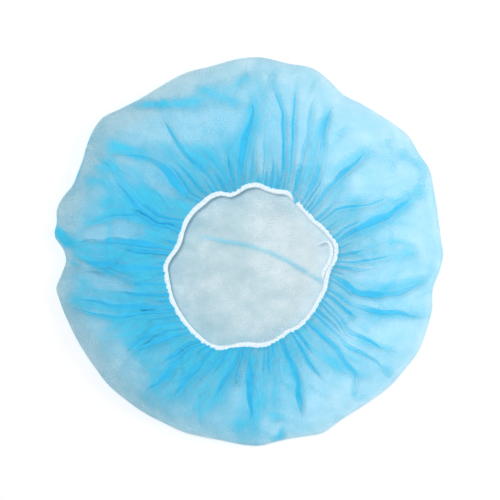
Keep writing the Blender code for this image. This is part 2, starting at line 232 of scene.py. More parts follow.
# Creases and bands. Columns: half width and height in tenths of a millimetre, extra layers
# of cloth, then X and Y of its points, as thousandths of the outline radius
CREASE_ROWS: Table = (
    (62, 6, 3.4, 37, 940, 47, 827, 17, 714, -29, 570, -50, 406), (34, 8, 3.0, -291, 858, -137, 786, 6, 714),
    (50, 0, 2.2, 27, 919, -55, 847, -127, 786), (42, 6, 3.0, -655, 740, -496, 750, -353, 750, -194, 770),
    (14, 8, 3.8, 99, 904, 145, 801, 176, 693, 181, 519, 171, 345),
    (14, 8, 3.4, 253, 899, 227, 724, 217, 519, 206, 334),
    (42, 6, 2.9, 453, 770, 391, 673, 345, 581, 324, 442, 263, 288),
    (55, 4, 1.7, 401, 365, 494, 442, 632, 529, 699, 596),
    (62, 8, 2.9, 458, 57, 612, 124, 776, 222, 868, 314, 899, 406),
    (50, 0, 0.9, 458, -66, 632, -30, 827, -9, 960, -4),
    (48, 6, 2.6, 453, -158, 596, -209, 735, -189, 960, -127),
    (40, 4, 1.8, 427, -281, 530, -312, 750, -327, 945, -343),
    (88, 6, 2.9, -424, -55, -681, -76, -840, -4, -958, 78), (18, 10, 3.4, -896, -9, -789, -66, -671, -117),
    (34, 8, 4.6, -500, 240, -686, 180, -860, 125), (70, 0, 5.8, -500, 222, -640, 232, -780, 240),
    (90, 0, 4.2, -600, 330, -542, 263, -455, 150, -383, 42),
    (15, 3, 3.0, -790, 650, -855, 480, -885, 380, -930, 300),
    (60, 0, 2.1, -983, -245, -814, -266, -619, -312), (17, 8, 3.1, -860, -312, -737, -332, -619, -337),
    (48, 6, 3.0, -589, -466, -481, -420, -322, -399), (70, 6, 2.7, -542, -727, -414, -599, -265, -481),
    (50, 4, 2.2, -455, -773, -353, -686, -230, -537),
    (45, 5, 2.7, -45, -507, -122, -650, -178, -753, -276, -871),
    (13, 8, 2.7, -40, -517, -117, -650, -163, -743), (55, 6, 3.6, 22, -496, 22, -691, 32, -830, 32, -984),
    (12, 6, 2.3, 83, -517, 83, -691), (62, 4, 1.8, 181, -507, 227, -686, 258, -866),
    (14, 8, 3.0, 206, -522, 253, -635, 278, -830), (30, 4, 2.1, 88, -814, 201, -866),
    (50, 0, 2.2, -81, -845, -14, -917), (40, 0, 2.3, 99, -973, 191, -932),
    (16, 8, 2.7, 242, -455, 355, -620), (40, 4, 2.1, 294, -491, 499, -599, 653, -666),
    (35, 6, 2.6, 524, -440, 668, -481, 760, -522), (45, 0, 1.0, 658, -573, 745, -650),
    (35, 3, 1.7, 540, -635, 530, -768), (15, 8, 3.0, -481, 734, -424, 673, -404, 616, -317, 509, -224, 375),
    (42, 6, 2.9, -737, 575, -676, 529, -568, 488, -486, 478), (35, 5, 2.9, -291, 540, -235, 452, -209, 396),
    (14, 8, 2.6, -240, 524, -163, 442), (30, 5, 2.3, -814, 432, -645, 427),
    (35, 6, 2.7, -727, 468, -635, 334, -568, 263), (40, 4, 2.3, -876, 375, -706, 334, -624, 283),
    (16, 10, 5.2, -712, 200, -706, -117), (14, 8, 1.0, -399, 652, -301, 632, -65, 678),
    (40, 0, 0.7, 694, 534, 878, 442, 930, 355),
    (14, 9, 2.1, 771, -61, 735, -153, 678, -209, 627, -230, 535, -225),
    (38, 8, 6.0, -1010, 130, -955, 70, -910, 10), (70, 0, -2.1, -363, 673, -122, 678),
    (36, 0, -2.2, 53, 570, 47, 406), (46, 0, -1.7, 278, 632, 268, 468), (140, 0, -1.8, 494, 699, 648, 596),
    (90, 0, -2.7, 581, 334, 801, 355), (55, 0, -2.7, 560, -107, 714, -107),
    (80, 0, -2.7, 673, -420, 904, -420), (80, 0, -1.4, 889, 186, 899, -55),
    (56, 0, -5.0, -800, 85, -765, 95), (66, 0, -5.2, -665, 115, -560, 105),
    (46, 0, -3.3, -845, -86, -737, -112), (68, 0, -5.2, -670, -150, -615, -170),
    (105, 0, -3.2, -660, -530, -560, -640), (52, 0, -2.7, -886, 247, -896, 150),
    (90, 0, -2.5, -896, -384, -773, -568), (46, 0, -3.3, -496, 334, -301, 257),
    (42, 0, -2.5, -35, -584, -76, -789), (32, 0, -2.4, -188, -584, -250, -686),
    (110, 0, -2.4, 324, -789, 458, -763), (50, 0, -1.8, 299, -635, 391, -671),
    (44, 0, -1.5, 427, -640, 504, -671), (110, 0, -2.8, -583, 622, -465, 647),
    (58, 0, -2.0, -327, 586, -158, 565), (54, 0, -2.4, -753, 642, -686, 632),
    (46, 0, -2.7, -804, 529, -794, 457), (30, 0, -2.1, -660, 468, -578, 447),
    (56, 0, -2.4, -506, 391, -394, 304), (66, 0, -2.0, -481, 816, -317, 842),
    (46, 0, -2.1, 88, -866, 130, -938), (56, 0, -1.8, -353, -891, -86, -968),
)

# Tenths of a millimetre in one metre
TENTHS = 10000.0

FOLDS: Tuple[Fold, ...] = tuple(
    Fold(width / TENTHS, height / TENTHS, lay, shares(line))
    for width, height, lay, *line in FOLD_ROWS
)

CREASES: Tuple[Crease, ...] = tuple(
    Crease(spread / TENTHS, rise / TENTHS, layers, shares(line))
    for spread, rise, layers, *line in CREASE_ROWS
)

# Ranges of half width, height and extra layers for the small creases that handling left
SOFT_BAND: Table = ((0.003, 0.007), (-0.0008, 0.0012), (-1.1, 1.1))
SHARP_CREASE: Table = ((0.0010, 0.0022), (0.0005, 0.0017), (0.4, 1.4))


def smooth_step(values: Values) -> Values:
    """Ease values from 0 to 1 with flat ends."""
    held = np.clip(values, 0.0, 1.0)
    return held * held * (3.0 - 2.0 * held)


def degrees_off(degrees: Values, middle: float) -> Values:
    """Return how far bearings lie from a middle one, -180 to 180."""
    return np.mod(degrees - middle + 180.0, 360.0) - 180.0


def periodic_curve(table: Table, bearings: np.ndarray) -> np.ndarray:
    """Read a closed bearing table with a smooth curve.

    Args:
        table: Rows of bearing in degrees and share, by rising bearing.
        bearings: Bearings in degrees.

    Returns:
        The share at each bearing.
    """
    knots, heights = np.array(table).T
    knots = np.concatenate([knots[-2:] - 360.0, knots, knots[:3] + 360.0])
    heights = np.concatenate([heights[-2:], heights, heights[:3]])
    slopes = np.gradient(heights, knots)
    turned = np.mod(bearings, 360.0)
    place = np.clip(np.searchsorted(knots, turned, side="right") - 1, 1, len(knots) - 3)
    span = knots[place + 1] - knots[place]
    t = (turned - knots[place]) / span
    return (
        (2.0 * t ** 3 - 3.0 * t ** 2 + 1.0) * heights[place]
        + (t ** 3 - 2.0 * t ** 2 + t) * slopes[place] * span
        + (-2.0 * t ** 3 + 3.0 * t ** 2) * heights[place + 1]
        + (t ** 3 - t ** 2) * slopes[place + 1] * span
    )


def curve_through(rows: np.ndarray, steps: int) -> np.ndarray:
    """Run a smooth curve through rows of numbers.

    Args:
        rows: The rows that it passes through.
        steps: Steps between two rows.

    Returns:
        A row for each step and the last row.
    """
    padded = np.concatenate([rows[:1], rows, rows[-1:]])
    curve: List[np.ndarray] = []
    for before, here, after, beyond in zip(padded, padded[1:], padded[2:], padded[3:]):
        for step in range(steps):
            t = step / steps
            curve.append(0.5 * (
                2.0 * here + (after - before) * t
                + (2.0 * before - 5.0 * here + 4.0 * after - beyond) * t ** 2
                + (3.0 * here - before - 3.0 * after + beyond) * t ** 3
            ))
    return np.array(curve + [rows[-1]])


def ridge_along(line: np.ndarray, flat: np.ndarray, spread: float, taper: float,
                least: float) -> np.ndarray:
    """Raise a soft ridge along a line of straight runs.

    Args:
        line: The line's points in metres.
        flat: X and Y of the places to measure, one row each.
        spread: Half width of the ridge in metres.
        taper: Share of the line over which each end rises.
        least: Height of the ends, 1 for a ridge that doesn't taper.

    Returns:
        The ridge's height at each place, 0 to 1.
    """
    nearest = np.full(len(flat), 9.0)
    along = np.zeros(len(flat))
    lengths = np.linalg.norm(np.diff(line, axis=0), axis=1)
    walked = np.concatenate([[0.0], np.cumsum(lengths)]) / lengths.sum()
    for index in range(len(lengths)):
        way = line[index + 1] - line[index]
        share = np.clip((flat - line[index]) @ way / float(way @ way), 0.0, 1.0)
        away = np.linalg.norm(flat - line[index] - share[:, None] * way, axis=1)
        closer = away < nearest
        nearest = np.where(closer, away, nearest)
        along = np.where(closer, walked[index] + share * (walked[index + 1] - walked[index]), along)
    ends = smooth_step(np.minimum(along, 1.0 - along) / taper + least)
    return ends * np.exp(-(nearest / spread) ** 2)


def join_rings(first: int, count: int, second: int, others: int) -> Faces:
    """Join two rings of points with faces, where the second may have more points.

    Args:
        first: Number of the first ring's first point.
        count: Points of the first ring.
        second: Number of the second ring's first point.
        others: Points of the second ring.

    Returns:
        The faces between the rings.
    """
    if count == others:
        return [
            (first + step, second + step, second + (step + 1) % count, first + (step + 1) % count)
            for step in range(count)
        ]
    faces: Faces = []
    inner = 0
    outer = 0
    while inner < count or outer < others:
        if outer < others and (inner == count or (outer + 0.5) * count <= (inner + 0.5) * others):
            faces.append((first + inner % count, second + outer, second + (outer + 1) % others))
            outer += 1
        else:
            faces.append((first + inner, second + outer % others, first + (inner + 1) % count))
            inner += 1
    return faces


def tube_faces(first: int, rings: int, size: int, closed: bool) -> Faces:
    """Join rings of points into a tube.

    Args:
        first: Number of its first point.
        rings: Number of rings.
        size: Points in a ring.
        closed: True where the last ring meets the first, else both ends are capped.

    Returns:
        The tube's faces.
    """
    faces: Faces = []
    starts = [first + ring * size for ring in range(rings)]
    for here, after in zip(starts, starts[1:] + starts[:int(closed)]):
        faces.extend(join_rings(here, size, after, size))
    if not closed:
        faces.append(tuple(range(first, first + size)))
        faces.append(tuple(reversed(range(starts[-1], starts[-1] + size))))
    return faces


def add_object(name: str, points: np.ndarray, faces: Faces) -> bpy.types.Object:
    """Make a smooth mesh object and put it in the scene.

    Args:
        name: Name of the object and its mesh.
        points: Its points in metres.
        faces: Its faces by point number.

    Returns:
        The object.
    """
    mesh = bpy.data.meshes.new(name)
    mesh.from_pydata(points.tolist(), [], faces)
    mesh.shade_smooth()
    made = bpy.data.objects.new(name, mesh)
    bpy.context.scene.collection.objects.link(made)
    return made


@dataclass(frozen=True)
class WrinkleField:
    """Smooth wrinkles over the floor plane, made of many plane waves.

    Attributes:
        length: Mean length of a wrinkle in metres.
        seed: Number that picks the waves.
        count: Number of waves.
    """

    length: float
    seed: int
    count: int = 24

    def height(self, flat: np.ndarray) -> np.ndarray:
        """Measure the field.

        Args:
            flat: Places, with X and Y in the first two columns.

        Returns:
            The field at each place, about -1 to 1.
        """
        picks = np.random.default_rng(self.seed)
        total = np.zeros(len(flat))
        for _ in range(self.count):
            angle = picks.uniform(0.0, math.tau)
            number = math.tau / (self.length * picks.uniform(0.7, 1.6))
            shift = picks.uniform(0.0, math.tau)
            total += np.cos(number * (flat[:, 0] * math.cos(angle) + flat[:, 1] * math.sin(angle)) + shift)
        return total / math.sqrt(self.count)


@dataclass(frozen=True)
class CapPlan:
    """Named sizes of the cap in metres, shared by the cloth and the tape.

    Attributes:
        outline_radius: Mean radius of the outline.
        mouth_radius: Mean radius of the mouth.
        wall: Thickness of the cap's wall.
        crest_height: Height of the gathered crest.
        mouth_offset_x: The mouth's place to the right, as a share of the outline radius.
        mouth_offset_y: The mouth's place upward in the photo, as such a share.
        tape_width: Width of the folded tape.
        tape_wall: Thickness of the tape.
        piece_gap: Room between two pieces.
        roll_bearing: Bearing in degrees where the cloth rolls over the tape.
        roll_spread: Half width of that roll in degrees.
        shift_x: The cap's middle to the right of the origin.
        shift_y: The cap's middle upward of the origin.
    """

    outline_radius: float = 0.1671
    mouth_radius: float = 0.0677
    wall: float = 0.0010
    crest_height: float = 0.0225
    mouth_offset_x: float = 0.0103
    mouth_offset_y: float = -0.0785
    tape_width: float = 0.0043
    tape_wall: float = 0.0009
    piece_gap: float = 0.0003
    roll_bearing: float = 56.0
    roll_spread: float = 2.4
    shift_x: float = -0.0002
    shift_y: float = 0.0004

    def plan_radius(self, bearing: np.ndarray, way_in: float) -> np.ndarray:
        """Measure a ring of the wall from above.

        Args:
            bearing: Bearings in radians.
            way_in: Share of the way in from the outline to the mouth.

        Returns:
            The plan radius at each bearing.
        """
        degrees = np.degrees(bearing)
        outer = self.outline_radius * periodic_curve(OUTLINE, degrees)
        inner = self.mouth_radius * periodic_curve(MOUTH, degrees)
        return outer + (inner - outer) * way_in

    def middle(self, way_in: Values) -> Tuple[Values, Values]:
        """Return the middle of the ring at a share of the way in."""
        reach = self.outline_radius * way_in
        return self.shift_x + reach * self.mouth_offset_x, self.shift_y + reach * self.mouth_offset_y

    def spots(self, way_in: float, radius: np.ndarray, bearing: np.ndarray, height: Values) -> np.ndarray:
        """Place points about the middle of a ring.

        Args:
            way_in: Share of the way in from the outline to the mouth.
            radius: Their distances from that middle in metres.
            bearing: Their bearings in radians.
            height: Their heights in metres.

        Returns:
            The points, with X, Y and Z along the last axis.
        """
        centre_x, centre_y = self.middle(way_in)
        x, y = centre_x + radius * np.cos(bearing), centre_y + radius * np.sin(bearing)
        return np.stack(np.broadcast_arrays(x, y, height), axis=-1)

    def placed(self, line: Table) -> np.ndarray:
        """Return a line of shares of the outline radius in metres."""
        return np.array(line) * self.outline_radius + np.array([self.shift_x, self.shift_y])

    def rolled(self, bearing: np.ndarray) -> np.ndarray:
        """Return 0 to 1 where the cloth rolls over the tape."""
        return np.exp(-(degrees_off(np.degrees(bearing), self.roll_bearing) / self.roll_spread) ** 2)

    def swell(self, bearing: np.ndarray, way_in: float) -> np.ndarray:
        """Add up the broad swells of the top layer.

        Args:
            bearing: Bearings in radians.
            way_in: Share of the way in from the outline to the mouth.

        Returns:
            The lift at each bearing.
        """
        total = np.zeros_like(bearing)
        for middle, depth_in, spread, spread_in, share in SWELLS:
            across = degrees_off(np.degrees(bearing), middle) / spread
            along = (way_in - depth_in) / spread_in
            total += self.crest_height * share * np.exp(-across ** 2 - along ** 2)
        return total

    def level(self, height_share: float) -> float:
        """Return the height of the wall's middle at a share of the crest height."""
        return self.wall / 2.0 + (self.crest_height - self.wall / 2.0) * height_share

    def edge_height(self, bearing: np.ndarray) -> np.ndarray:
        """Return the height of the cloth's edge at bearings in radians."""
        return self.level(SECTION[-1][1]) + self.swell(bearing, 1.0)

    def tape_thick(self) -> float:
        """Return the half thickness of the cloth's edge with the tape on it."""
        return self.wall / 2.0 + self.piece_gap + self.tape_wall

    def section(self, count: int) -> List[Tuple[float, float, bool]]:
        """Walk the wall from the back layer's edge to the mouth in even steps.

        Args:
            count: Number of steps.

        Returns:
            For each step the share of the way in, the share of the crest height and
            whether it is on the top layer.
        """
        dense = np.maximum(curve_through(np.array(SECTION), SECTION_STEPS), 0.0)
        number = np.arange(len(dense)) / SECTION_STEPS
        size = (self.outline_radius - self.mouth_radius, self.crest_height)
        steps = np.linalg.norm(np.diff(dense, axis=0) * size, axis=1)
        crowding = 1.0 + 0.7 * smooth_step((number[1:] - 7.5) / 3.0)
        travel = np.concatenate([[0.0], np.cumsum(steps * crowding)])
        marks = np.linspace(0.0, travel[-1], count)
        way, height, row = (np.interp(marks, travel, column) for column in (*dense.T, number))
        return list(zip(way, height, row > SECTION_TURN))


@dataclass
class FoldPlan:
    """Where every fold and gather of the top layer runs.

    Attributes:
        plan: Named sizes of the cap.
        gather_spacing: Degrees between fine gathers at the mouth.
        gather_width: Widest overlap of a fine gather.
        gather_height: Height of a fine gather.
        fold_points: Points across a long fold.
        gather_points: Points across a fine gather.
        between: Points between two folds.
        least_gap: Least bearing in radians between two long folds.
        meeting: Share of a long fold's height at which the upper cloth meets it.
        gather_meeting: The same share for a fine gather.
        fold_edge: Cloth in metres on each side of a long fold's overlap.
        gather_edge: Such cloth of a fine gather, as a share of its cell.
        plain_edge: Such cloth where nothing is folded, as a share of the cell.
        most_overlap: Most of the room to the next long fold that an overlap takes.
        gather_seed: Number that picks the fine gathers.
        turn_seed: Number that picks how the overlaps vary.
    """

    plan: CapPlan
    gather_spacing: float = 3.7
    gather_width: float = 0.0024
    gather_height: float = 0.0016
    fold_points: int = 12
    gather_points: int = 8
    between: int = 2
    least_gap: float = 0.060
    meeting: float = 0.72
    gather_meeting: float = 0.3
    fold_edge: float = 0.0007
    gather_edge: float = 0.14
    plain_edge: float = 0.36
    most_overlap: float = 0.60
    gather_seed: int = 31
    turn_seed: int = 71

    def __post_init__(self) -> None:
        """Follow each long fold over the rings and pick the fine gathers between them."""
        self.ways = np.linspace(0.0, 1.0, 101)
        followed = sorted(((*self.follow(fold), fold) for fold in FOLDS), key=lambda row: row[0][-1])
        self.runs = np.array([row[0] for row in followed])
        self.ends = np.array([row[1] for row in followed])
        self.widths, self.heights, self.lays = np.array([
            (fold.width, fold.height, fold.lay.value) for _, _, fold in followed
        ]).T
        for _ in range(3):
            for index in range(1, len(self.runs)):
                self.runs[index] = np.maximum(self.runs[index], self.runs[index - 1] + self.least_gap)
            self.runs[0] = np.maximum(self.runs[0], self.runs[-1] - math.tau + self.least_gap)
        self.turns = np.random.default_rng(self.turn_seed).uniform(0.0, math.tau, len(self.runs))
        picks = np.random.default_rng(self.gather_seed)
        self.gathers: List[np.ndarray] = []
        starts = self.runs[:, -1]
        for room in np.degrees(np.diff(np.append(starts, starts[0] + math.tau))):
            count = max(int(round(room / self.gather_spacing)) - 1, 1)
            places = (np.arange(count) + 0.5 + picks.uniform(-0.11, 0.11, count)) / count
            ends = 1.0 - picks.uniform(0.12, 0.62, count) ** 1.2
            sizes = picks.uniform(0.6, 1.3, count)
            lays = np.where(picks.uniform(0.0, 1.0, count) < 0.5, 1.0, -1.0)
            self.gathers.append(np.column_stack([places, ends, sizes, lays]))

    def follow(self, fold: Fold) -> Tuple[np.ndarray, float]:
        """Follow a long fold over the rings.

        Args:
            fold: The fold.

        Returns:
            Its bearing at each share of the way in, and the share where it ends.
        """
        ways: List[float] = []
        bearings: List[float] = []
        centre_x, centre_y = self.plan.middle(self.ways)
        for x, y in self.plan.placed(fold.line):
            bearing = np.arctan2(y - centre_y, x - centre_x)
            past = np.hypot(x - centre_x, y - centre_y) - self.plan.plan_radius(bearing, self.ways)
            ways.append(float(np.interp(0.0, past, self.ways)))
            bearings.append(float(np.interp(ways[-1], self.ways, np.unwrap(bearing))))
        order = np.argsort(ways)
        run = np.interp(self.ways, np.array(ways)[order], np.unwrap(np.array(bearings)[order]))
        kernel = np.hanning(13)
        run = np.convolve(np.pad(run, 6, mode="edge"), kernel / kernel.sum(), mode="valid")
        picks = np.random.default_rng(int(1000.0 * (fold.line[0][0] + 2.0)))
        for waves in (1.6, 3.1, 5.3):
            turn = picks.uniform(0.0, math.tau)
            run += 0.020 / waves * np.sin(waves * math.tau * self.ways + turn) * (1.0 - self.ways)
        run += math.tau * round((math.pi - run[-1]) / math.tau)
        return run, min(ways)

    @staticmethod
    def pleat(count: int, width: float, margin: float, height: float, lay: float,
              formed: float, entry: float) -> Tuple[np.ndarray, np.ndarray]:
        """Shape the cloth across one fold.

        Args:
            count: Points across.
            width: Overlap in metres.
            margin: Cloth on each side of the overlap in metres.
            height: Height of the roll in metres.
            lay: 1 when laid anticlockwise, -1 when laid clockwise.
            formed: 0 where there is no fold, 1 where it is full.
            entry: Share of the height at which the upper cloth meets the fold.

        Returns:
            Distances along the ring from the fold's middle, and heights.
        """
        t = np.linspace(0.0, 1.0, count)
        turned = smooth_step(width / 0.0010) * formed
        along = margin * (2.0 * t - 1.0) + turned * (width + margin) / 2.0 * np.sin(math.tau * t)
        u = t if lay > 0.0 else 1.0 - t
        rise = entry + (1.0 - entry) * smooth_step(u / 0.2)
        fall = 1.0 - smooth_step((u - 0.22) / 0.60)
        return along, height * formed * rise * fall

    def ring(self, way_in: float) -> Tuple[np.ndarray, np.ndarray]:
        """Fold one ring of cloth into its hoop.

        Args:
            way_in: Share of the way in from the outline to the mouth.

        Returns:
            The bearing and the extra height of each point.
        """
        lines = np.array([np.interp(way_in, self.ways, run) for run in self.runs])
        radii = self.plan.plan_radius(lines, way_in)
        leftward = self.lays > 0.0
        after = np.roll(lines, -1) - lines
        after[-1] += math.tau
        before = np.roll(after, 1)
        room = np.where(leftward, before, after) * radii
        formed = smooth_step((way_in - self.ends) / (0.12 + 18.0 * self.widths))
        closing = 1.0 - 0.55 * smooth_step((way_in - 0.66) / 0.34)
        uneven = 1.0 + 0.16 * np.sin(9.0 * way_in + self.turns)
        uneven += 0.14 * np.sin(23.0 * way_in + 2.0 * self.turns)
        narrowing = np.clip((way_in - self.ends) / 0.38, 0.0, 1.0)
        widths = 0.86 * self.widths * formed * narrowing * closing * uneven
        widths = np.minimum(widths, self.most_overlap * room)
        heights = np.minimum(self.heights, 0.0012 + 0.6 * widths)
        counts = np.array([len(rows) for rows in self.gathers])
        cells = np.minimum(before, after) * radii / (counts + 1.0)
        margins = formed * self.fold_edge + (1.0 - formed) * self.plain_edge * cells
        low = lines - (np.where(leftward, widths, 0.0) + margins) / radii
        high = lines + (np.where(leftward, 0.0, widths) + margins) / radii
        finish = np.roll(low, -1)
        finish[-1] += math.tau
        middles = lines - self.lays * widths / 2.0 / radii
        leave = heights * formed * np.where(leftward, 0.0, self.meeting)
        meet = np.roll(heights * formed * np.where(leftward, self.meeting, 0.0), -1)
        folded = (formed + np.roll(formed, -1)) / 2.0
        bearings: List[np.ndarray] = []
        rises: List[np.ndarray] = []
        for index in range(len(lines)):
            along, rise = self.pleat(self.fold_points, widths[index], margins[index], heights[index],
                                     self.lays[index], formed[index], self.meeting)
            bearings.append(middles[index] + along / radii[index])
            rises.append(rise)
            length = (finish[index] - high[index]) * radii[index]
            along, rise = self.span(way_in, self.gathers[index], length, leave[index], meet[index],
                                    folded[index])
            bearings.append(high[index] + along / radii[index])
            rises.append(rise)
        return np.concatenate(bearings), np.concatenate(rises)

    def span(self, way_in: float, gathers: np.ndarray, length: float, leave: float,
             meet: float, folded: float) -> Tuple[np.ndarray, np.ndarray]:
        """Shape the cloth between two long folds, with its fine gathers.

        Args:
            way_in: Share of the way in from the outline to the mouth.
            gathers: Rows of place, end, size and lay, one for each fine gather.
            length: Distance between the two folds.
            leave: Height where it starts.
            meet: Height where it ends.
            folded: How fully the two long folds are formed.

        Returns:
            The distance along the ring and the extra height of each point.
        """
        cell = length / len(gathers)
        places: List[np.ndarray] = []
        rises: List[np.ndarray] = []
        edge = 0.0
        for share, end, size, lay in gathers:
            formed = smooth_step((way_in - end) / 0.22)
            margin = (self.gather_edge * formed + self.plain_edge * (1.0 - formed)) * cell
            width = max(min(self.gather_width * size * formed, 0.80 * cell - 2.0 * margin), 0.0)
            along, rise = self.pleat(self.gather_points, width, margin, self.gather_height * size, lay,
                                     formed, self.gather_meeting)
            middle = share * length
            gap = np.linspace(edge, middle - margin - width / 2.0, self.between + 2)[1:-1]
            places.extend([gap, middle + along])
            rises.extend([np.zeros_like(gap), rise])
            edge = middle + margin + width / 2.0
        gap = np.linspace(edge, length, self.between + 2)[1:-1]
        travelled = np.concatenate(places + [gap])
        share_along = np.clip(travelled / max(length, 1e-6), 0.0, 1.0)
        level = leave + (meet - leave) * smooth_step(share_along)
        fullness = smooth_step((way_in - 0.08) / 0.4)
        puff = 0.050 * fullness * folded * min(length, 0.026) * np.sin(math.pi * share_along) ** 2
        return travelled, level + puff + np.concatenate(rises + [np.zeros_like(gap)])


@dataclass
class CapPiece:
    """A visible piece of the cap.

    Attributes:
        plan: Named sizes of the cap.
    """

    plan: CapPlan

    def build(self) -> bpy.types.Object:
        """Build the piece and return its object."""
        raise NotImplementedError

    def dress(self, material: bpy.types.Material) -> bpy.types.Object:
        """Build the piece in a material.

        Args:
            material: What it is made of.

        Returns:
            Its object.
        """
        made = self.build()
        made.data.materials.append(material)
        return made


@dataclass
class ClothSheet(CapPiece):
    """The cap's one sheet of nonwoven cloth.

    Attributes:
        rows: Rings from the back layer's edge to the mouth.
        floor_gap: Lowest place of the cloth above the floor.
        crease_rise: Height of the back layer's crease.
        crease_spread: Half width of the back layer's crease.
        rim_layers: Extra layers that the finest crinkles pack in at the mouth.
        most_layers: Most layers packed at one place.
        small_creases: Small creases over the whole top layer.
        crease_seed: Number that picks the small creases.
        top_waves: Broad wrinkles of the top layer.
        top_ripples: Fine wrinkles of the top layer.
        back_waves: Broad wrinkles of the back layer.
        back_ripples: Fine wrinkles of the back layer.
        top_clouds: Where the top layer's cloth is denser.
        back_clouds: Where the back layer's cloth is denser.
    """

    rows: int = 62
    floor_gap: float = 0.00035
    crease_rise: float = 0.0016
    crease_spread: float = 0.0017
    rim_layers: float = 2.4
    most_layers: float = 6.5
    small_creases: int = 200
    crease_seed: int = 57
    top_waves: WrinkleField = WrinkleField(0.060, 3)
    top_ripples: WrinkleField = WrinkleField(0.011, 8)
    back_waves: WrinkleField = WrinkleField(0.070, 11)
    back_ripples: WrinkleField = WrinkleField(0.024, 13)
    top_clouds: WrinkleField = WrinkleField(0.050, 41)
    back_clouds: WrinkleField = WrinkleField(0.060, 15)

    def __post_init__(self) -> None:
        """Lay out the folds and count the points round a ring."""
        self.folds = FoldPlan(self.plan)
        self.around = len(self.folds.ring(1.0)[0])

    @staticmethod
    def crumpled_shaded_side(points: np.ndarray) -> np.ndarray:
        """Return 0 to 1 toward the lower left, where the cloth lies more crumpled and its extra layers also
        paint the shade of the dimmer side.
        """
        return smooth_step(0.45 - (0.85 * points[:, 0] + 0.25 * points[:, 1]) / 0.20)

    def on_crease(self, points: np.ndarray) -> np.ndarray:
        """Return 0 to 1 along the back layer's long crease."""
        return ridge_along(self.plan.placed(CREASE), points[:, :2], self.crease_spread, 0.12, 0.15)

    def crush(self, way_in: float, points: np.ndarray, on_top: bool) -> np.ndarray:
        """Measure the layers of cloth packed at each point of a ring, with more toward the lower left, partly
        as painted shade.

        Args:
            way_in: Share of the way in from the outline to the mouth.
            points: The ring's points.
            on_top: True on the top layer.

        Returns:
            The layers, 1 where the cloth lies plain.
        """
        layers = np.ones(len(points))
        if not on_top:
            return layers
        outer, inner = self.plan.outline_radius, self.plan.mouth_radius
        radius = outer + (inner - outer) * way_in
        path = float(np.linalg.norm(np.roll(points, -1, axis=0) - points, axis=1).sum())
        spare = max(math.tau * (2.0 * outer - radius) / path, 1.0) - 1.0
        soft = self.top_clouds.height(points)
        # More layers toward the lower left: partly more crumpled cloth, partly painted shade of the dimmer
        # side.
        crumpled_shade = self.crumpled_shaded_side(points)
        near_mouth = self.rim_layers * smooth_step((way_in - 0.15) / 0.75)
        layers += spare * (0.70 + 0.62 * crumpled_shade) * np.clip(1.0 + 0.45 * soft, 0.3, 1.8)
        layers += near_mouth * (0.04 + 1.26 * crumpled_shade) * np.clip(1.0 + 0.40 * soft, 0.3, 1.8)
        layers += 1.1 * smooth_step(way_in / 0.12) * crumpled_shade ** 1.5
        layers += (0.3 + 1.3 * crumpled_shade) * smooth_step(1.0 - way_in / 0.03)
        return layers

    def top_ring(self, way_in: float, height_share: float, on_top: bool) -> np.ndarray:
        """Lay one ring of points from the back layer's edge to the mouth.

        Args:
            way_in: Share of the way in from the outline to the mouth.
            height_share: Share of the crest height.
            on_top: True on the top layer.

        Returns:
            An array of points, one row each.
        """
        bearing, rise = self.folds.ring(way_in if on_top else 0.0)
        over = self.plan.rolled(bearing) * smooth_step((way_in - 0.92) / 0.05)
        radius = self.plan.plan_radius(bearing, way_in) - 0.0010 * over
        points = self.plan.spots(way_in, radius, bearing, 0.0024 * over + self.plan.level(height_share))
        edge = smooth_step(height_share / 0.35)
        calm = 1.0 - 0.8 * smooth_step((way_in - 0.85) / 0.15)
        if on_top:
            flat = 1.0 - 0.70 * smooth_step((way_in - 0.93) / 0.06)
            points[:, 2] += self.plan.swell(bearing, way_in) + rise * flat * edge
        wrinkles = 0.0010 * self.top_waves.height(points) + 0.00014 * self.top_ripples.height(points)
        points[:, 2] = np.maximum(points[:, 2] + edge * calm * wrinkles, self.floor_gap)
        return points

    def back_height(self, flat: np.ndarray) -> np.ndarray:
        """Measure the back layer's height with its wrinkles and its crease.

        Args:
            flat: Places, with X and Y in the first two columns.

        Returns:
            The height at each place.
        """
        wrinkles = 0.00035 * (self.back_waves.height(flat) + 1.0)
        wrinkles += 0.00010 * (self.back_ripples.height(flat) + 1.0)
        return self.floor_gap + wrinkles + self.crease_rise * self.on_crease(flat)

    def creases(self) -> List[Crease]:
        """List the named creases and the many small ones that handling left.

        Returns:
            The creases, the named ones first.
        """
        picks = np.random.default_rng(self.crease_seed)
        made = list(CREASES)
        inner = self.plan.mouth_radius / self.plan.outline_radius
        for number in range(self.small_creases):
            bearing = picks.uniform(0.0, math.tau)
            away = picks.uniform(inner + 0.06, 0.93)
            heading = bearing + picks.normal(0.0, 0.75)
            length = picks.uniform(0.10, 0.34)
            bend = picks.normal(0.0, 0.05)
            middle = np.array([away * math.cos(bearing), away * math.sin(bearing) - 0.04])
            way = np.array([math.cos(heading), math.sin(heading)]) * length / 2.0
            side = np.array([-way[1], way[0]]) * bend * 4.0
            ranges = SOFT_BAND if number % 3 == 0 else SHARP_CREASE
            sizes = [picks.uniform(*limits) for limits in ranges]
            made.append(Crease(*sizes, (middle - way, middle + side, middle + way)))
        return made

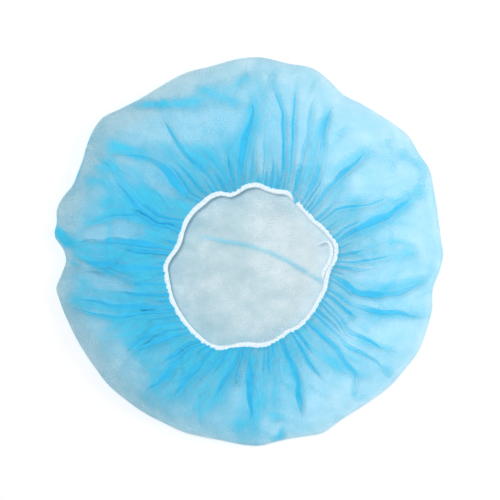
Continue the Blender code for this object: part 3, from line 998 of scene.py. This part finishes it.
    def crumple(self, points: np.ndarray, ways: np.ndarray, layers: np.ndarray) -> None:
        """Press the creases into the top layer and pack cloth along them.

        Args:
            points: The top layer's points, changed in place.
            ways: Each point's share of the way in.
            layers: Layers of cloth at each point, changed in place.
        """
        flat = points[:, :2]
        calm = 1.0 - 0.8 * smooth_step((ways - 0.82) / 0.18)
        free = smooth_step(ways / 0.07)
        lift = np.zeros(len(points))
        for crease in self.creases():
            line = self.plan.placed(crease.line)
            reach = 2.6 * crease.spread
            low, high = line.min(axis=0) - reach, line.max(axis=0) + reach
            near = np.all((flat >= low) & (flat <= high), axis=1)
            least = 1.0 if crease.layers < 0.0 else 0.06
            pressed = calm[near] * ridge_along(line, flat[near], crease.spread, 0.34, least)
            lift[near] += crease.rise * free[near] * pressed
            layers[near] += crease.layers * pressed
        points[:, 2] = np.maximum(points[:, 2] + lift, self.floor_gap)
        # Partly painted shade: the least layers rise toward the lower left.
        least_layers = 0.72 + 1.05 * self.crumpled_shaded_side(points)
        above = layers - least_layers
        held = least_layers + 0.5 * (above + np.sqrt(above ** 2 + 0.2))
        layers[:] = np.minimum(held, self.most_layers)

    def painted_inside_shade(self, points: np.ndarray) -> np.ndarray:
        """Measure the painted shade of the back layer's points, by how far inside the cap they are.

        Args:
            points: Points of the back layer.

        Returns:
            The painted shade at each point, 1 well inside the mouth and less under the top layer.
        """
        # Painted shade: greyer inside the mouth, where the cap's wall shades the back layer.
        away = points[:, :2] - self.plan.middle(1.0)
        rim = self.plan.plan_radius(np.arctan2(away[:, 1], away[:, 0]), 1.0)
        past = smooth_step(np.linalg.norm(away, axis=1) / rim - 1.0)
        return (1.0 - 0.75 * past) * (1.0 - 0.65 * self.on_crease(points))

    def back_layers(self, points: np.ndarray) -> np.ndarray:
        """Measure the layers of cloth that show at the back layer's points, with extra layers that paint
        shade inside the mouth, most toward the left.

        Args:
            points: Points of the back layer.

        Returns:
            The layers at each point.
        """
        # Painted shade: more layers inside the mouth, most toward the dimmer left; the crease's layers are
        # real folded cloth.
        leftward = smooth_step(0.5 - points[:, 0] / 0.11)
        packed = (0.45 + 1.40 * leftward) * self.painted_inside_shade(points) + 2.0 * self.on_crease(points)
        return 1.0 + packed + 0.12 * self.back_clouds.height(points)

    @staticmethod
    def painted_top_shade(points: np.ndarray, ways: np.ndarray, layers: np.ndarray) -> np.ndarray:
        """Measure the painted shade that greys the top layer where its cloth is thin.

        Args:
            points: The top layer's points.
            ways: Each point's share of the way in.
            layers: Layers of cloth at each point.

        Returns:
            The painted shade at each point, 0 to 1.
        """
        # Painted shade: thin cloth greyed outward of the mouth and most toward the dimmer left.
        painted_grey = 0.26 * (1.0 - smooth_step(ways / 0.7))
        painted_grey += 0.74 * smooth_step(0.45 - (0.80 * points[:, 0] - 0.12 * points[:, 1]) / 0.18)
        thin = 1.0 - smooth_step((layers - 1.7) / 2.6)
        return 0.78 * painted_grey * thin * (1.0 - 0.6 * smooth_step(ways / 0.9))

    def back_rings(self, edge: np.ndarray) -> List[np.ndarray]:
        """Lay the back layer's rings, from its middle to just inside its edge.

        Args:
            edge: The ring of points that the back layer meets.

        Returns:
            Rings of points whose counts double outward.
        """
        centre = np.array(self.plan.middle(1.0))
        rings: List[np.ndarray] = []
        for start, step, number, part in BACK_RINGS:
            count = self.around // part
            marks = np.arange(count) * (self.around / count)
            before = np.floor(marks).astype(int)
            past = (marks - before)[:, None]
            picked = edge[before] * (1.0 - past) + edge[(before + 1) % self.around] * past
            for index in range(1, number + 1):
                share = start + step * index
                flat = centre + (picked[:, :2] - centre) * share
                fade = smooth_step((share - 0.85) / 0.15)
                height = self.back_height(flat) * (1.0 - fade) + picked[:, 2] * fade
                rings.append(np.column_stack([flat, height]))
        return rings

    def build(self) -> bpy.types.Object:
        """Build the sheet.

        Returns:
            Its object, with each point's layers of cloth, painted shade and place on the flat cloth.
        """
        steps = self.plan.section(self.rows)
        tops = [self.top_ring(*step) for step in steps]
        backs = self.back_rings(tops[0])
        rings = backs + tops
        counts = [len(ring) for ring in rings]
        starts = np.cumsum([0] + counts).tolist()
        faces: Faces = [tuple(range(counts[0]))]
        for first, count, second, others in zip(starts, counts, starts[1:], counts[1:]):
            faces.extend(join_rings(first, count, second, others))
        points = np.concatenate(rings)
        back, top = np.split(points, [starts[len(backs)]])
        ways = np.concatenate([np.full(len(ring), step[0] * step[2]) for step, ring in zip(steps, tops)])
        packing = np.concatenate([self.crush(step[0], ring, step[2]) for step, ring in zip(steps, tops)])
        self.crumple(top, ways, packing)
        made = add_object("nonwoven_sheet", points, faces)
        # The inside attribute holds painted shade on both layers.
        for name, on_back, on_top in (
            ("layers", self.back_layers(back), packing),
            ("inside", self.painted_inside_shade(back), self.painted_top_shade(top, ways, packing)),
        ):
            values = np.concatenate([on_back, on_top]).astype(np.float32)
            made.data.attributes.new(name, "FLOAT", "POINT").data.foreach_set("value", values)
        self.mark_cloth(made.data, rings, len(backs))
        return made

    def mark_cloth(self, mesh: bpy.types.Mesh, rings: Sequence[np.ndarray], backed: int) -> None:
        """Store each point's place on the cloth as it lay flat, as UV metres.

        Args:
            mesh: The sheet's mesh.
            rings: Its rings of points, from the middle of the back layer to the mouth.
            backed: Number of rings on the back layer.
        """
        shares = np.zeros(self.around)
        whole = [ring for ring in rings if len(ring) == self.around]
        for ring in whole:
            steps = np.linalg.norm(np.roll(ring, -1, axis=0) - ring, axis=1)
            shares += steps / steps.sum() / len(whole)
        centre = np.array(self.plan.middle(1.0))
        column = np.concatenate([[0.0], np.cumsum(shares)]) * math.tau
        column += math.atan2(*(whole[0][0, 1::-1] - centre[::-1]))
        walk = 0.0
        mean_before = 0.0
        flat: List[np.ndarray] = []
        for index, ring in enumerate(rings):
            count = len(ring)
            around = np.interp(np.arange(count) * (self.around / count), np.arange(self.around + 1), column)
            away = ring[:, :2] - centre
            reach = np.linalg.norm(away, axis=1)
            mean = float(np.mean(reach))
            if index > 0 and count == len(rings[index - 1]):
                walk += float(np.median(np.linalg.norm(ring - rings[index - 1], axis=1)))
            else:
                walk += mean - mean_before
            mean_before = mean
            plain = 1.0 - smooth_step((index - 0.70 * backed) / (0.30 * backed))
            true_around = np.unwrap(np.arctan2(away[:, 1], away[:, 0]))
            true_around += math.tau * round((around[0] - true_around[0]) / math.tau)
            around += (true_around - around) * plain
            out = walk + (reach - walk) * plain
            flat.append(np.column_stack([out * np.cos(around), out * np.sin(around)]))
        corners = np.empty(len(mesh.loops), dtype=np.int32)
        mesh.loops.foreach_get("vertex_index", corners)
        layer = mesh.uv_layers.new(name="cloth_flat")
        layer.data.foreach_set("uv", np.concatenate(flat)[corners].astype(np.float32).ravel())


class NodeBench:
    """Short ways to add nodes to one node tree."""

    def __init__(self, tree: bpy.types.NodeTree) -> None:
        """Keep the tree that the nodes go into."""
        self.nodes = tree.nodes
        self.links = tree.links

    def feed(self, into: bpy.types.NodeSocket, value: Feed) -> None:
        """Link a socket into another one, or set its own value.

        Args:
            into: The input that is fed.
            value: A socket to link from, or else a number, a colour or a vector.
        """
        if isinstance(value, bpy.types.NodeSocket):
            self.links.new(value, into)
        else:
            into.default_value = value

    def add(self, kind: str, sockets: Dict[Union[str, int], Feed], **settings: object) -> bpy.types.Node:
        """Add a node.

        Args:
            kind: Its kind, without the words ShaderNode.
            sockets: What goes into each of its inputs.
            settings: Its settings, set before its inputs.

        Returns:
            The node.
        """
        node = self.nodes.new("ShaderNode" + kind)
        for name, value in settings.items():
            setattr(node, name, value)
        for place, value in sockets.items():
            self.feed(node.inputs[place], value)
        return node

    def math(self, kind: str, first: Feed, *others: Feed) -> bpy.types.NodeSocket:
        """Join sockets or numbers by one operation, from the left.

        Args:
            kind: The operation.
            first: The first of them.
            others: The ones that follow.

        Returns:
            The result's socket.
        """
        for value in others:
            first = self.add("Math", {0: first, 1: value}, operation=kind).outputs[0]
        return first

    def noise(self, place: bpy.types.NodeSocket, scale: Feed, detail: Feed,
              stretch: Feed = (1.0, 1.0, 1.0), turn: Feed = (0.0, 0.0, 0.0)) -> bpy.types.NodeSocket:
        """Add a noise, which may be stretched along one direction.

        Args:
            place: Socket with the place on the surface.
            scale: Clouds in one metre.
            detail: Finer and finer clouds added.
            stretch: Factor on each axis.
            turn: Turn about each axis in radians.

        Returns:
            The noise's value, 0 to 1.
        """
        move = self.add("Mapping", {"Vector": place, "Scale": stretch, "Rotation": turn}).outputs["Vector"]
        return self.add("TexNoise", {"Vector": move, "Scale": scale, "Detail": detail}).outputs["Fac"]

    def spread(self, value: bpy.types.NodeSocket, low: Feed, high: Feed, to_low: float = 0.0,
               to_high: float = 1.0) -> bpy.types.NodeSocket:
        """Spread a value from one range over another.

        Args:
            value: The value's socket.
            low: Start of the first range.
            high: End of the first range.
            to_low: Start of the second range.
            to_high: End of the second range.

        Returns:
            The new value's socket, held at the ends of the second range.
        """
        limits = {"From Min": low, "From Max": high, "To Min": to_low, "To Max": to_high}
        return self.add("MapRange", {"Value": value, **limits}).outputs["Result"]

    def blend(self, share: bpy.types.NodeSocket, first: Feed, second: Feed) -> bpy.types.NodeSocket:
        """Return the socket of a colour between two, by a share."""
        return self.add("Mix", {"Factor": share, "A": first, "B": second}, data_type="RGBA").outputs["Result"]

    def bump(self, height: bpy.types.NodeSocket, strength: float, depth: float) -> bpy.types.NodeSocket:
        """Return the socket of normals that follow a height."""
        return self.add("Bump", {"Height": height, "Strength": strength, "Distance": depth}).outputs["Normal"]

    def mix(self, share: Feed, first: bpy.types.Node, second: bpy.types.Node) -> bpy.types.Node:
        """Mix two shaders by a share of the second and return the node."""
        return self.add("MixShader", {"Fac": share, 1: first.outputs[0], 2: second.outputs[0]})

    def group(self, tree: bpy.types.NodeTree, sockets: Dict[Union[str, int], Feed]) -> bpy.types.Node:
        """Place a node group and return its node."""
        return self.add("Group", sockets, node_tree=tree)


class GroupBench(NodeBench):
    """A node group with its inputs and outputs at hand."""

    def __init__(self, name: str, inputs: Dict[str, str], outputs: Dict[str, str]) -> None:
        """Start the group.

        Args:
            name: Its name.
            inputs: Kind of each named input.
            outputs: Kind of each named output.
        """
        self.tree = bpy.data.node_groups.new(name, "ShaderNodeTree")
        super().__init__(self.tree)
        for way, sockets in (("INPUT", inputs), ("OUTPUT", outputs)):
            for label, kind in sockets.items():
                self.tree.interface.new_socket(label, in_out=way, socket_type="NodeSocket" + kind)
        self.given = self.nodes.new("NodeGroupInput").outputs
        self.result = self.nodes.new("NodeGroupOutput").inputs


def spunbond_group() -> bpy.types.NodeTree:
    """Make the node group of spunbond fibres with their bond points, once.

    Returns:
        The group, which gives the cloth's colour, its cover and its relief; painted shade also thickens the
        cover.
    """
    name = "spunbond_fibres"
    if name in bpy.data.node_groups:
        return bpy.data.node_groups[name]
    bench = GroupBench(
        name, {"Place": "Vector", "Layers": "Float", "Inside": "Float", "Fibre": "Color", "Cover": "Float"},
        {"Colour": "Color", "Cover": "Float", "Height": "Float"},
    )
    place = bench.given["Place"]
    inside = bench.given["Inside"]
    cloudy = bench.noise(place, 95.0, 4.0)
    patchy = bench.noise(place, 32.0, 3.0, (1.0, 1.6, 1.0), (0.0, 0.0, 0.8))
    lengthwise = bench.noise(place, 1500.0, 2.0, (0.12, 1.0, 1.0), (0.0, 0.0, 0.5))
    crosswise = bench.noise(place, 1500.0, 2.0, (1.0, 0.14, 1.0), (0.0, 0.0, -0.35))
    fibres = bench.math("MULTIPLY", bench.math("ADD", lengthwise, crosswise), 0.5)
    bonds = bench.add("TexVoronoi", {"Vector": place, "Scale": 480.0, "Randomness": 0.12})
    dot = bench.spread(bonds.outputs["Distance"], 0.20, 0.30, 1.0, 0.0)

    # Fine crinkles that run outward from the mouth
    outward = bench.add("VectorMath", {0: place}, operation="LENGTH").outputs["Value"]
    around = bench.add("VectorMath", {0: place}, operation="NORMALIZE").outputs["Vector"]
    split = bench.add("SeparateXYZ", {"Vector": around}).outputs
    drift = bench.math("MULTIPLY", outward, 1.3)
    ray = bench.add("CombineXYZ", {"X": split["X"], "Y": split["Y"], "Z": drift}).outputs["Vector"]
    streaks = bench.spread(bench.noise(ray, 34.0, 3.0), 0.30, 0.70)
    streaks = bench.math("MULTIPLY", streaks, bench.math("SUBTRACT", 1.0, inside))

    # Painted shade packs in more layers, so shaded cloth looks denser and darker.
    packed = bench.math("MAXIMUM", bench.math("SUBTRACT", bench.given["Layers"], 1.0), 0.0)
    wave = bench.math("ADD", bench.math("MULTIPLY", inside, 0.55), 0.45, bench.math("MULTIPLY", streaks, 1.1))
    layers = bench.math("ADD", bench.math("MULTIPLY", packed, wave), 1.0)
    share: Feed = 1.0
    for clouds, weight in ((patchy, 1.3), (cloudy, 0.7), (fibres, 0.9)):
        share = bench.math("ADD", share, bench.math("MULTIPLY", bench.math("SUBTRACT", clouds, 0.5), weight))
    cover = bench.math("MULTIPLY", bench.given["Cover"], share)
    cover = bench.math("ADD", cover, bench.math("MULTIPLY", dot, -0.03))
    cover = bench.math("MAXIMUM", bench.math("MINIMUM", cover, 0.90), 0.03)
    clear = bench.math("POWER", bench.math("SUBTRACT", 1.0, cover), layers)
    bench.feed(bench.result["Cover"], bench.math("SUBTRACT", 1.0, clear))
    height = bench.math("SUBTRACT", fibres, bench.math("MULTIPLY", dot, 0.6))
    crinkles = bench.math("MULTIPLY", streaks, bench.math("MINIMUM", packed, 1.2), 2.5)
    bench.feed(bench.result["Height"], bench.math("ADD", height, crinkles))
    bright = bench.math("ADD", bench.math("MULTIPLY", cloudy, 0.12), 0.94)
    tone = bench.add("HueSaturation", {"Value": bright, "Color": bench.given["Fibre"]})
    bench.feed(bench.result["Colour"], tone.outputs["Color"])
    return bench.tree


def grain_group() -> bpy.types.NodeTree:
    """Make the node group of a fine grain in two colours, once.

    Returns:
        The group, which gives the grain's colour and its relief.
    """
    name = "fine_grain"
    if name in bpy.data.node_groups:
        return bpy.data.node_groups[name]
    bench = GroupBench(
        name,
        {"Place": "Vector", "Stretch": "Vector", "Turn": "Vector", "Scale": "Float", "Detail": "Float",
         "Low": "Float", "High": "Float", "Dark": "Color", "Light": "Color"},
        {"Colour": "Color", "Height": "Float"},
    )
    given = bench.given
    grain = bench.noise(given["Place"], given["Scale"], given["Detail"], given["Stretch"], given["Turn"])
    share = bench.spread(grain, given["Low"], given["High"])
    bench.feed(bench.result["Colour"], bench.blend(share, given["Dark"], given["Light"]))
    bench.feed(bench.result["Height"], grain)
    return bench.tree


@dataclass(frozen=True)
class ClothFinish:
    """Thin translucent spunbond cloth.

    Attributes:
        fibre: Colour of the fibres.
        inner: Paler, greyer fibre colour of painted shade, on the crown's inner face and on thin cloth toward
            the left.
        cover: Share of the cloth's face that fibres cover.
        pass_through: Share of the fibres' light that goes through to the far side.
        roughness: Roughness of the fibres.
        specular: Strength of their sheen.
    """

    fibre: Colour = (0.08, 0.73, 0.985, 1.0)
    # Greyer colour painted for shade.
    inner: Colour = (0.345, 0.56, 0.635, 1.0)
    cover: float = 0.235
    pass_through: float = 0.45
    roughness: float = 0.6
    specular: float = 0.25

    def material(self) -> bpy.types.Material:
        """Make the cloth's material.

        Returns:
            The material, in which light falls on the fibres and passes through them.
        """
        made = bpy.data.materials.new("spunbond_cloth")
        made.use_nodes = True
        bench = NodeBench(made.node_tree)
        bench.nodes.clear()
        place = bench.add("UVMap", {}, uv_map="cloth_flat").outputs["UV"]
        layers = bench.add("Attribute", {}, attribute_name="layers").outputs["Fac"]
        # The inside attribute is painted shade, which greys the fibres toward the inner colour.
        inside = bench.add("Attribute", {}, attribute_name="inside").outputs["Fac"]
        weave = bench.group(spunbond_group(), {
            "Place": place, "Layers": layers, "Inside": inside,
            "Fibre": bench.blend(inside, self.fibre, self.inner), "Cover": self.cover,
        }).outputs
        normal = bench.bump(weave["Height"], 0.6, 0.0003)
        face = bench.add("BsdfPrincipled", {
            "Base Color": weave["Colour"], "Roughness": self.roughness, "Specular IOR Level": self.specular,
            "Alpha": weave["Cover"], "Normal": normal,
        })
        glow = bench.add("BsdfTranslucent", {"Color": weave["Colour"], "Normal": normal})
        holes = bench.add("BsdfTransparent", {})
        through = bench.mix(weave["Cover"], holes, glow)
        cloth = bench.mix(self.pass_through, face, through)
        bench.add("OutputMaterial", {"Surface": cloth.outputs[0]})
        return made


@dataclass(frozen=True)
class GrainFinish:
    """White fibres with a fine grain of shade.

    Attributes:
        name: Name of the material.
        light: Lighter colour of the grain.
        dark: Darker colour of the grain.
        roughness: Roughness of the fibres.
        specular: Strength of their sheen.
        scale: Grains in one metre.
        detail: Finer and finer grains added.
        limits: Range of the grain over which the colour goes from dark to light.
        bump: Strength and depth in metres of the grain's relief.
        stretch: Factor on each axis.
        turn: Turn about each axis in radians.
    """

    name: str
    light: Colour
    dark: Colour
    roughness: float
    specular: float
    scale: float
    detail: float
    limits: Tuple[float, float]
    bump: Tuple[float, float]
    stretch: Triple = (1.0, 1.0, 1.0)
    turn: Triple = (0.0, 0.0, 0.0)

    def material(self) -> bpy.types.Material:
        """Make the material.

        Returns:
            The material with its grain.
        """
        made = bpy.data.materials.new(self.name)
        made.use_nodes = True
        bench = NodeBench(made.node_tree)
        grain = bench.group(grain_group(), {
            "Place": bench.add("TexCoord", {}).outputs["Object"], "Stretch": self.stretch, "Turn": self.turn,
            "Scale": self.scale, "Detail": self.detail, "Low": self.limits[0], "High": self.limits[1],
            "Dark": self.dark, "Light": self.light,
        }).outputs
        face = bench.nodes["Principled BSDF"].inputs
        bench.feed(face["Roughness"], self.roughness)
        bench.feed(face["Specular IOR Level"], self.specular)
        bench.feed(face["Base Color"], grain["Colour"])
        bench.feed(face["Normal"], bench.bump(grain["Height"], *self.bump))
        return made


TAPE_FINISH = GrainFinish(
    "elastic_tape_cloth", light=(0.78, 0.87, 0.92, 1.0), dark=(0.58, 0.74, 0.84, 1.0), roughness=0.7,
    specular=0.3, scale=650.0, detail=3.0, limits=(0.30, 0.55), bump=(0.4, 0.0002),
)
THREAD_FINISH = GrainFinish(
    "sewing_thread", light=(0.80, 0.87, 0.90, 1.0), dark=(0.52, 0.66, 0.76, 1.0), roughness=0.6,
    specular=0.5, scale=5200.0, detail=1.0, limits=(0.35, 0.60), bump=(0.5, 0.0001),
    stretch=(1.0, 1.0, 0.5), turn=(0.0, 0.0, 0.7),
)


@dataclass
class ElasticBinding(CapPiece):
    """The elastic tape folded over the cloth's edge round the mouth.

    Attributes:
        steps: Sections round the ring.
        crinkle: Depth of the tape's crinkles.
        crinkle_count: Crinkles round the ring.
        wave: Depth of its slow waves.
        seed: Number that picks how the crinkles wander.
    """

    steps: int = 1400
    crinkle: float = 0.00013
    crinkle_count: int = 58
    wave: float = 0.00016
    seed: int = 23

    def build(self) -> bpy.types.Object:
        """Build the ring.

        Returns:
            Its object.
        """
        bearing = np.arange(self.steps) * math.tau / self.steps
        picks = np.random.default_rng(self.seed)
        phase = np.zeros_like(bearing)
        for waves in range(3, 60):
            phase += picks.normal() / waves ** 0.5 * np.cos(waves * bearing + picks.uniform(0.0, math.tau))
        ripple = np.sin(self.crinkle_count * bearing + 1.4 * phase) + 0.35 * np.sin(151.0 * bearing + phase)
        slow = np.sin(84.0 * bearing + 1.2 * np.roll(phase, 300))
        level = self.plan.edge_height(bearing) + self.wave * slow
        half = self.plan.tape_width / 2.0 * (1.0 - 0.35 * self.plan.rolled(bearing))
        middle = self.plan.plan_radius(bearing, 1.0) + half - self.plan.tape_wall - self.plan.piece_gap
        raised = self.crinkle * ripple
        thick = self.plan.tape_thick()
        rows: List[np.ndarray] = []
        for out, up in TAPE_SECTION:
            reach = middle + out * (half + 0.35 * raised * (0.35 + 0.65 * abs(out)))
            folded = (1.0 if up >= 0.0 else -0.6) * (1.0 - 0.4 * abs(out))
            rows.append(self.plan.spots(1.0, reach, bearing, level + up * thick + raised * folded))
        points = np.stack(rows, axis=1).reshape(-1, 3)
        return add_object("elastic_ring", points, tube_faces(0, self.steps, len(rows), True))


@dataclass
class BindingTail(CapPiece):
    """The lapped end of the tape beside the ring, with its tail turned inward.

    Attributes:
        steps: Sections along the tail.
        corners: Points round a section.
        drop: Height below the tape's middle, as a share of the tape's width.
        crinkle: Depth of its crinkles.
    """

    steps: int = 160
    corners: int = 12
    drop: float = 0.02
    crinkle: float = 0.00016

    def middle_line(self) -> np.ndarray:
        """Run the tail's middle line in even steps.

        Returns:
            A row for each step with its place, its half width and its half height.
        """
        degrees, inward, wide, high = np.array(TAIL_PATH).T
        size = self.plan.tape_width
        bearing = np.radians(degrees)
        radius = self.plan.plan_radius(bearing, 1.0) - self.plan.tape_wall - 2.0 * self.plan.piece_gap
        height = self.plan.edge_height(bearing) - self.drop * size
        places = self.plan.spots(1.0, radius - inward * size, bearing, height)
        dense = curve_through(np.column_stack([places, wide * size / 2.0, high * size / 2.0]), 20)
        travel = np.concatenate([[0.0], np.cumsum(np.linalg.norm(np.diff(dense[:, :3], axis=0), axis=1))])
        marks = np.linspace(0.0, travel[-1], self.steps)
        return np.column_stack([np.interp(marks, travel, column) for column in dense.T])

    def build(self) -> bpy.types.Object:
        """Build the tail.

        Returns:
            Its object.
        """
        line = self.middle_line()
        way = np.gradient(line[:, :2], axis=0)
        way /= np.linalg.norm(way, axis=1)[:, None]
        side = np.column_stack([-way[:, 1], way[:, 0], np.zeros(len(way))])
        along = np.linspace(0.0, 1.0, self.steps)
        ripple = np.sin(math.tau * 17.0 * along) + 0.5 * np.sin(math.tau * 29.0 * along + 1.0)
        closed = np.sqrt(np.clip(np.minimum(along, 1.0 - along) / 0.012, 0.0, 1.0))
        half_wide = closed * (line[:, 3] + self.crinkle * ripple)
        half_high = closed * (line[:, 4] + self.crinkle * np.roll(ripple, 3))
        sections: List[np.ndarray] = []
        for turn in np.linspace(0.0, math.tau, self.corners, endpoint=False):
            across = math.copysign(abs(math.cos(turn)) ** 0.6, math.cos(turn))
            up = math.copysign(abs(math.sin(turn)) ** 0.6, math.sin(turn))
            place = line[:, :3] + side * (across * half_wide)[:, None]
            place[:, 2] += up * half_high
            sections.append(place)
        points = np.stack(sections, axis=1).reshape(-1, 3)
        return add_object("lapped_tail", points, tube_faces(0, self.steps, self.corners, False))


@dataclass
class BindingStitches(CapPiece):
    """Thread stitches that hold the tape to the cloth's edge.

    Attributes:
        count: Stitches round the ring.
        length: Length of a stitch that shows.
        thread: Thickness of the thread.
        steps: Sections along a stitch.
        corners: Points round a section.
        outward: Its place outward of the mouth's edge, as a share of the tape's width.
        sunk: Depth of a stitch's ends in the tape.
        arch: Height of its middle over its ends.
        clear: Degrees on each side of the cloth's roll that have no stitch.
    """

    count: int = 128
    length: float = 0.0022
    thread: float = 0.00034
    steps: int = 7
    corners: int = 6
    outward: float = 0.35
    sunk: float = 0.00012
    arch: float = 0.00018
    clear: float = 5.0

    def build(self) -> bpy.types.Object:
        """Build the stitches.

        Returns:
            Their object.
        """
        bearing = (np.arange(self.count) + 0.5) * math.tau / self.count
        away = np.abs(degrees_off(np.degrees(bearing), self.plan.roll_bearing))
        bearing = bearing[away > self.clear]
        top = (self.plan.edge_height(bearing) + self.plan.tape_thick() - self.sunk)[:, None, None]
        radius = self.plan.plan_radius(bearing, 1.0) + self.outward * self.plan.tape_width
        radius = radius[:, None, None]
        along = np.linspace(0.0, 1.0, self.steps)[:, None]
        turn = -np.arange(self.corners) * math.tau / self.corners
        arch = np.sin(math.pi * along)
        thick = self.thread / 2.0 * (0.45 + 0.55 * arch)
        swung = bearing[:, None, None] + (along - 0.5) * self.length / radius
        height = top + self.arch * arch + thick * np.sin(turn)
        points = self.plan.spots(1.0, radius + thick * np.cos(turn), swung, height).reshape(-1, 3)
        faces: Faces = []
        for first in range(0, len(points), self.steps * self.corners):
            faces.extend(tube_faces(first, self.steps, self.corners, False))
        return add_object("binding_stitches", points, faces)


@dataclass
class Studio:
    """White floor, soft light and the camera straight above.

    Attributes:
        pixel: Size of one photo pixel on the floor in metres.
        photo_side: Pixels along one side of the photo.
        view_x: The photo's middle to the right of the origin in pixels.
        view_y: The photo's middle above the origin in pixels.
        distance: Height of the camera above the level at which a pixel has that size.
        level: Height of that level above the floor.
        sensor: Width of the camera's sensor in millimetres.
        floor_half: Half the width of the floor.
        room_light: Strength of the room's even light.
    """

    pixel: float = 0.000857
    photo_side: float = 500.0
    view_x: float = 1.25
    view_y: float = 1.2
    distance: float = 1.6
    level: float = 0.008
    sensor: float = 36.0
    floor_half: float = 2.0
    room_light: float = 0.463

    def build(self) -> None:
        """Make the floor, the lights and the camera."""
        self.floor()
        self.room()
        self.area("key_light", (-0.16, 0.16, 1.40), 0.20, 10.4)
        self.area("side_light", (0.85, 0.05, 0.50), 0.4, 2.95)
        self.camera()

    def floor(self) -> None:
        """Make the white floor."""
        corners = np.array([(-1.0, -1.0, 0.0), (1.0, -1.0, 0.0), (1.0, 1.0, 0.0), (-1.0, 1.0, 0.0)])
        made = add_object("white_floor", self.floor_half * corners, [(0, 1, 2, 3)])
        material = bpy.data.materials.new("white_board")
        material.use_nodes = True
        face = material.node_tree.nodes["Principled BSDF"].inputs
        face["Base Color"].default_value = (0.98, 0.98, 0.98, 1.0)
        face["Roughness"].default_value = 0.9
        face["Specular IOR Level"].default_value = 0.1
        made.data.materials.append(material)

    def room(self) -> None:
        """Make the room's even light."""
        world = bpy.data.worlds.new("soft_room")
        world.use_nodes = True
        back = world.node_tree.nodes["Background"].inputs
        back["Color"].default_value = (1.0, 1.0, 1.0, 1.0)
        back["Strength"].default_value = self.room_light
        bpy.context.scene.world = world

    @staticmethod
    def area(name: str, place: Triple, size: float, power: float) -> None:
        """Make one square area light aimed at the cap.

        Args:
            name: Its name.
            place: Where it hangs, in metres.
            size: Its width in metres.
            power: Its power in watts.
        """
        lamp = bpy.data.lights.new(name, "AREA")
        lamp.size = size
        lamp.energy = power
        made = bpy.data.objects.new(name, lamp)
        made.location = place
        made.rotation_euler = Vector(place).to_track_quat("Z", "Y").to_euler()
        bpy.context.scene.collection.objects.link(made)

    def camera(self) -> None:
        """Make the camera straight above, framed as the photo is."""
        lens = bpy.data.cameras.new("overhead_camera")
        lens.sensor_width = self.sensor
        lens.lens = self.sensor * self.distance / (self.photo_side * self.pixel)
        made = bpy.data.objects.new("overhead_camera", lens)
        made.location = (self.view_x * self.pixel, self.view_y * self.pixel, self.distance + self.level)
        scene = bpy.context.scene
        scene.collection.objects.link(made)
        scene.camera = made
        scene.view_settings.view_transform = "Standard"
        scene.cycles.transparent_max_bounces = 32


def main() -> None:
    """Build the cap's pieces in order."""
    logging.basicConfig(level=logging.INFO, format="%(message)s")
    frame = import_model()
    LOG.info("nodes: %s", sorted(frame["nodes"]))
    plan = CapPlan()
    tape = TAPE_FINISH.material()
    sheet = ClothSheet(plan).dress(ClothFinish().material())
    ring = ElasticBinding(plan).dress(tape)
    tail = BindingTail(plan).dress(tape)
    stitches = BindingStitches(plan).dress(THREAD_FINISH.material())
    for piece in (sheet, ring, tail, stitches):
        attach(piece, "root")
        LOG.info("%s: %d faces", piece.name, len(piece.data.polygons))
    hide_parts("cap_cloth")
    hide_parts("elastic_binding")
    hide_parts("binding_tail")
    Studio().build()


if __name__ == "__main__":
    main()
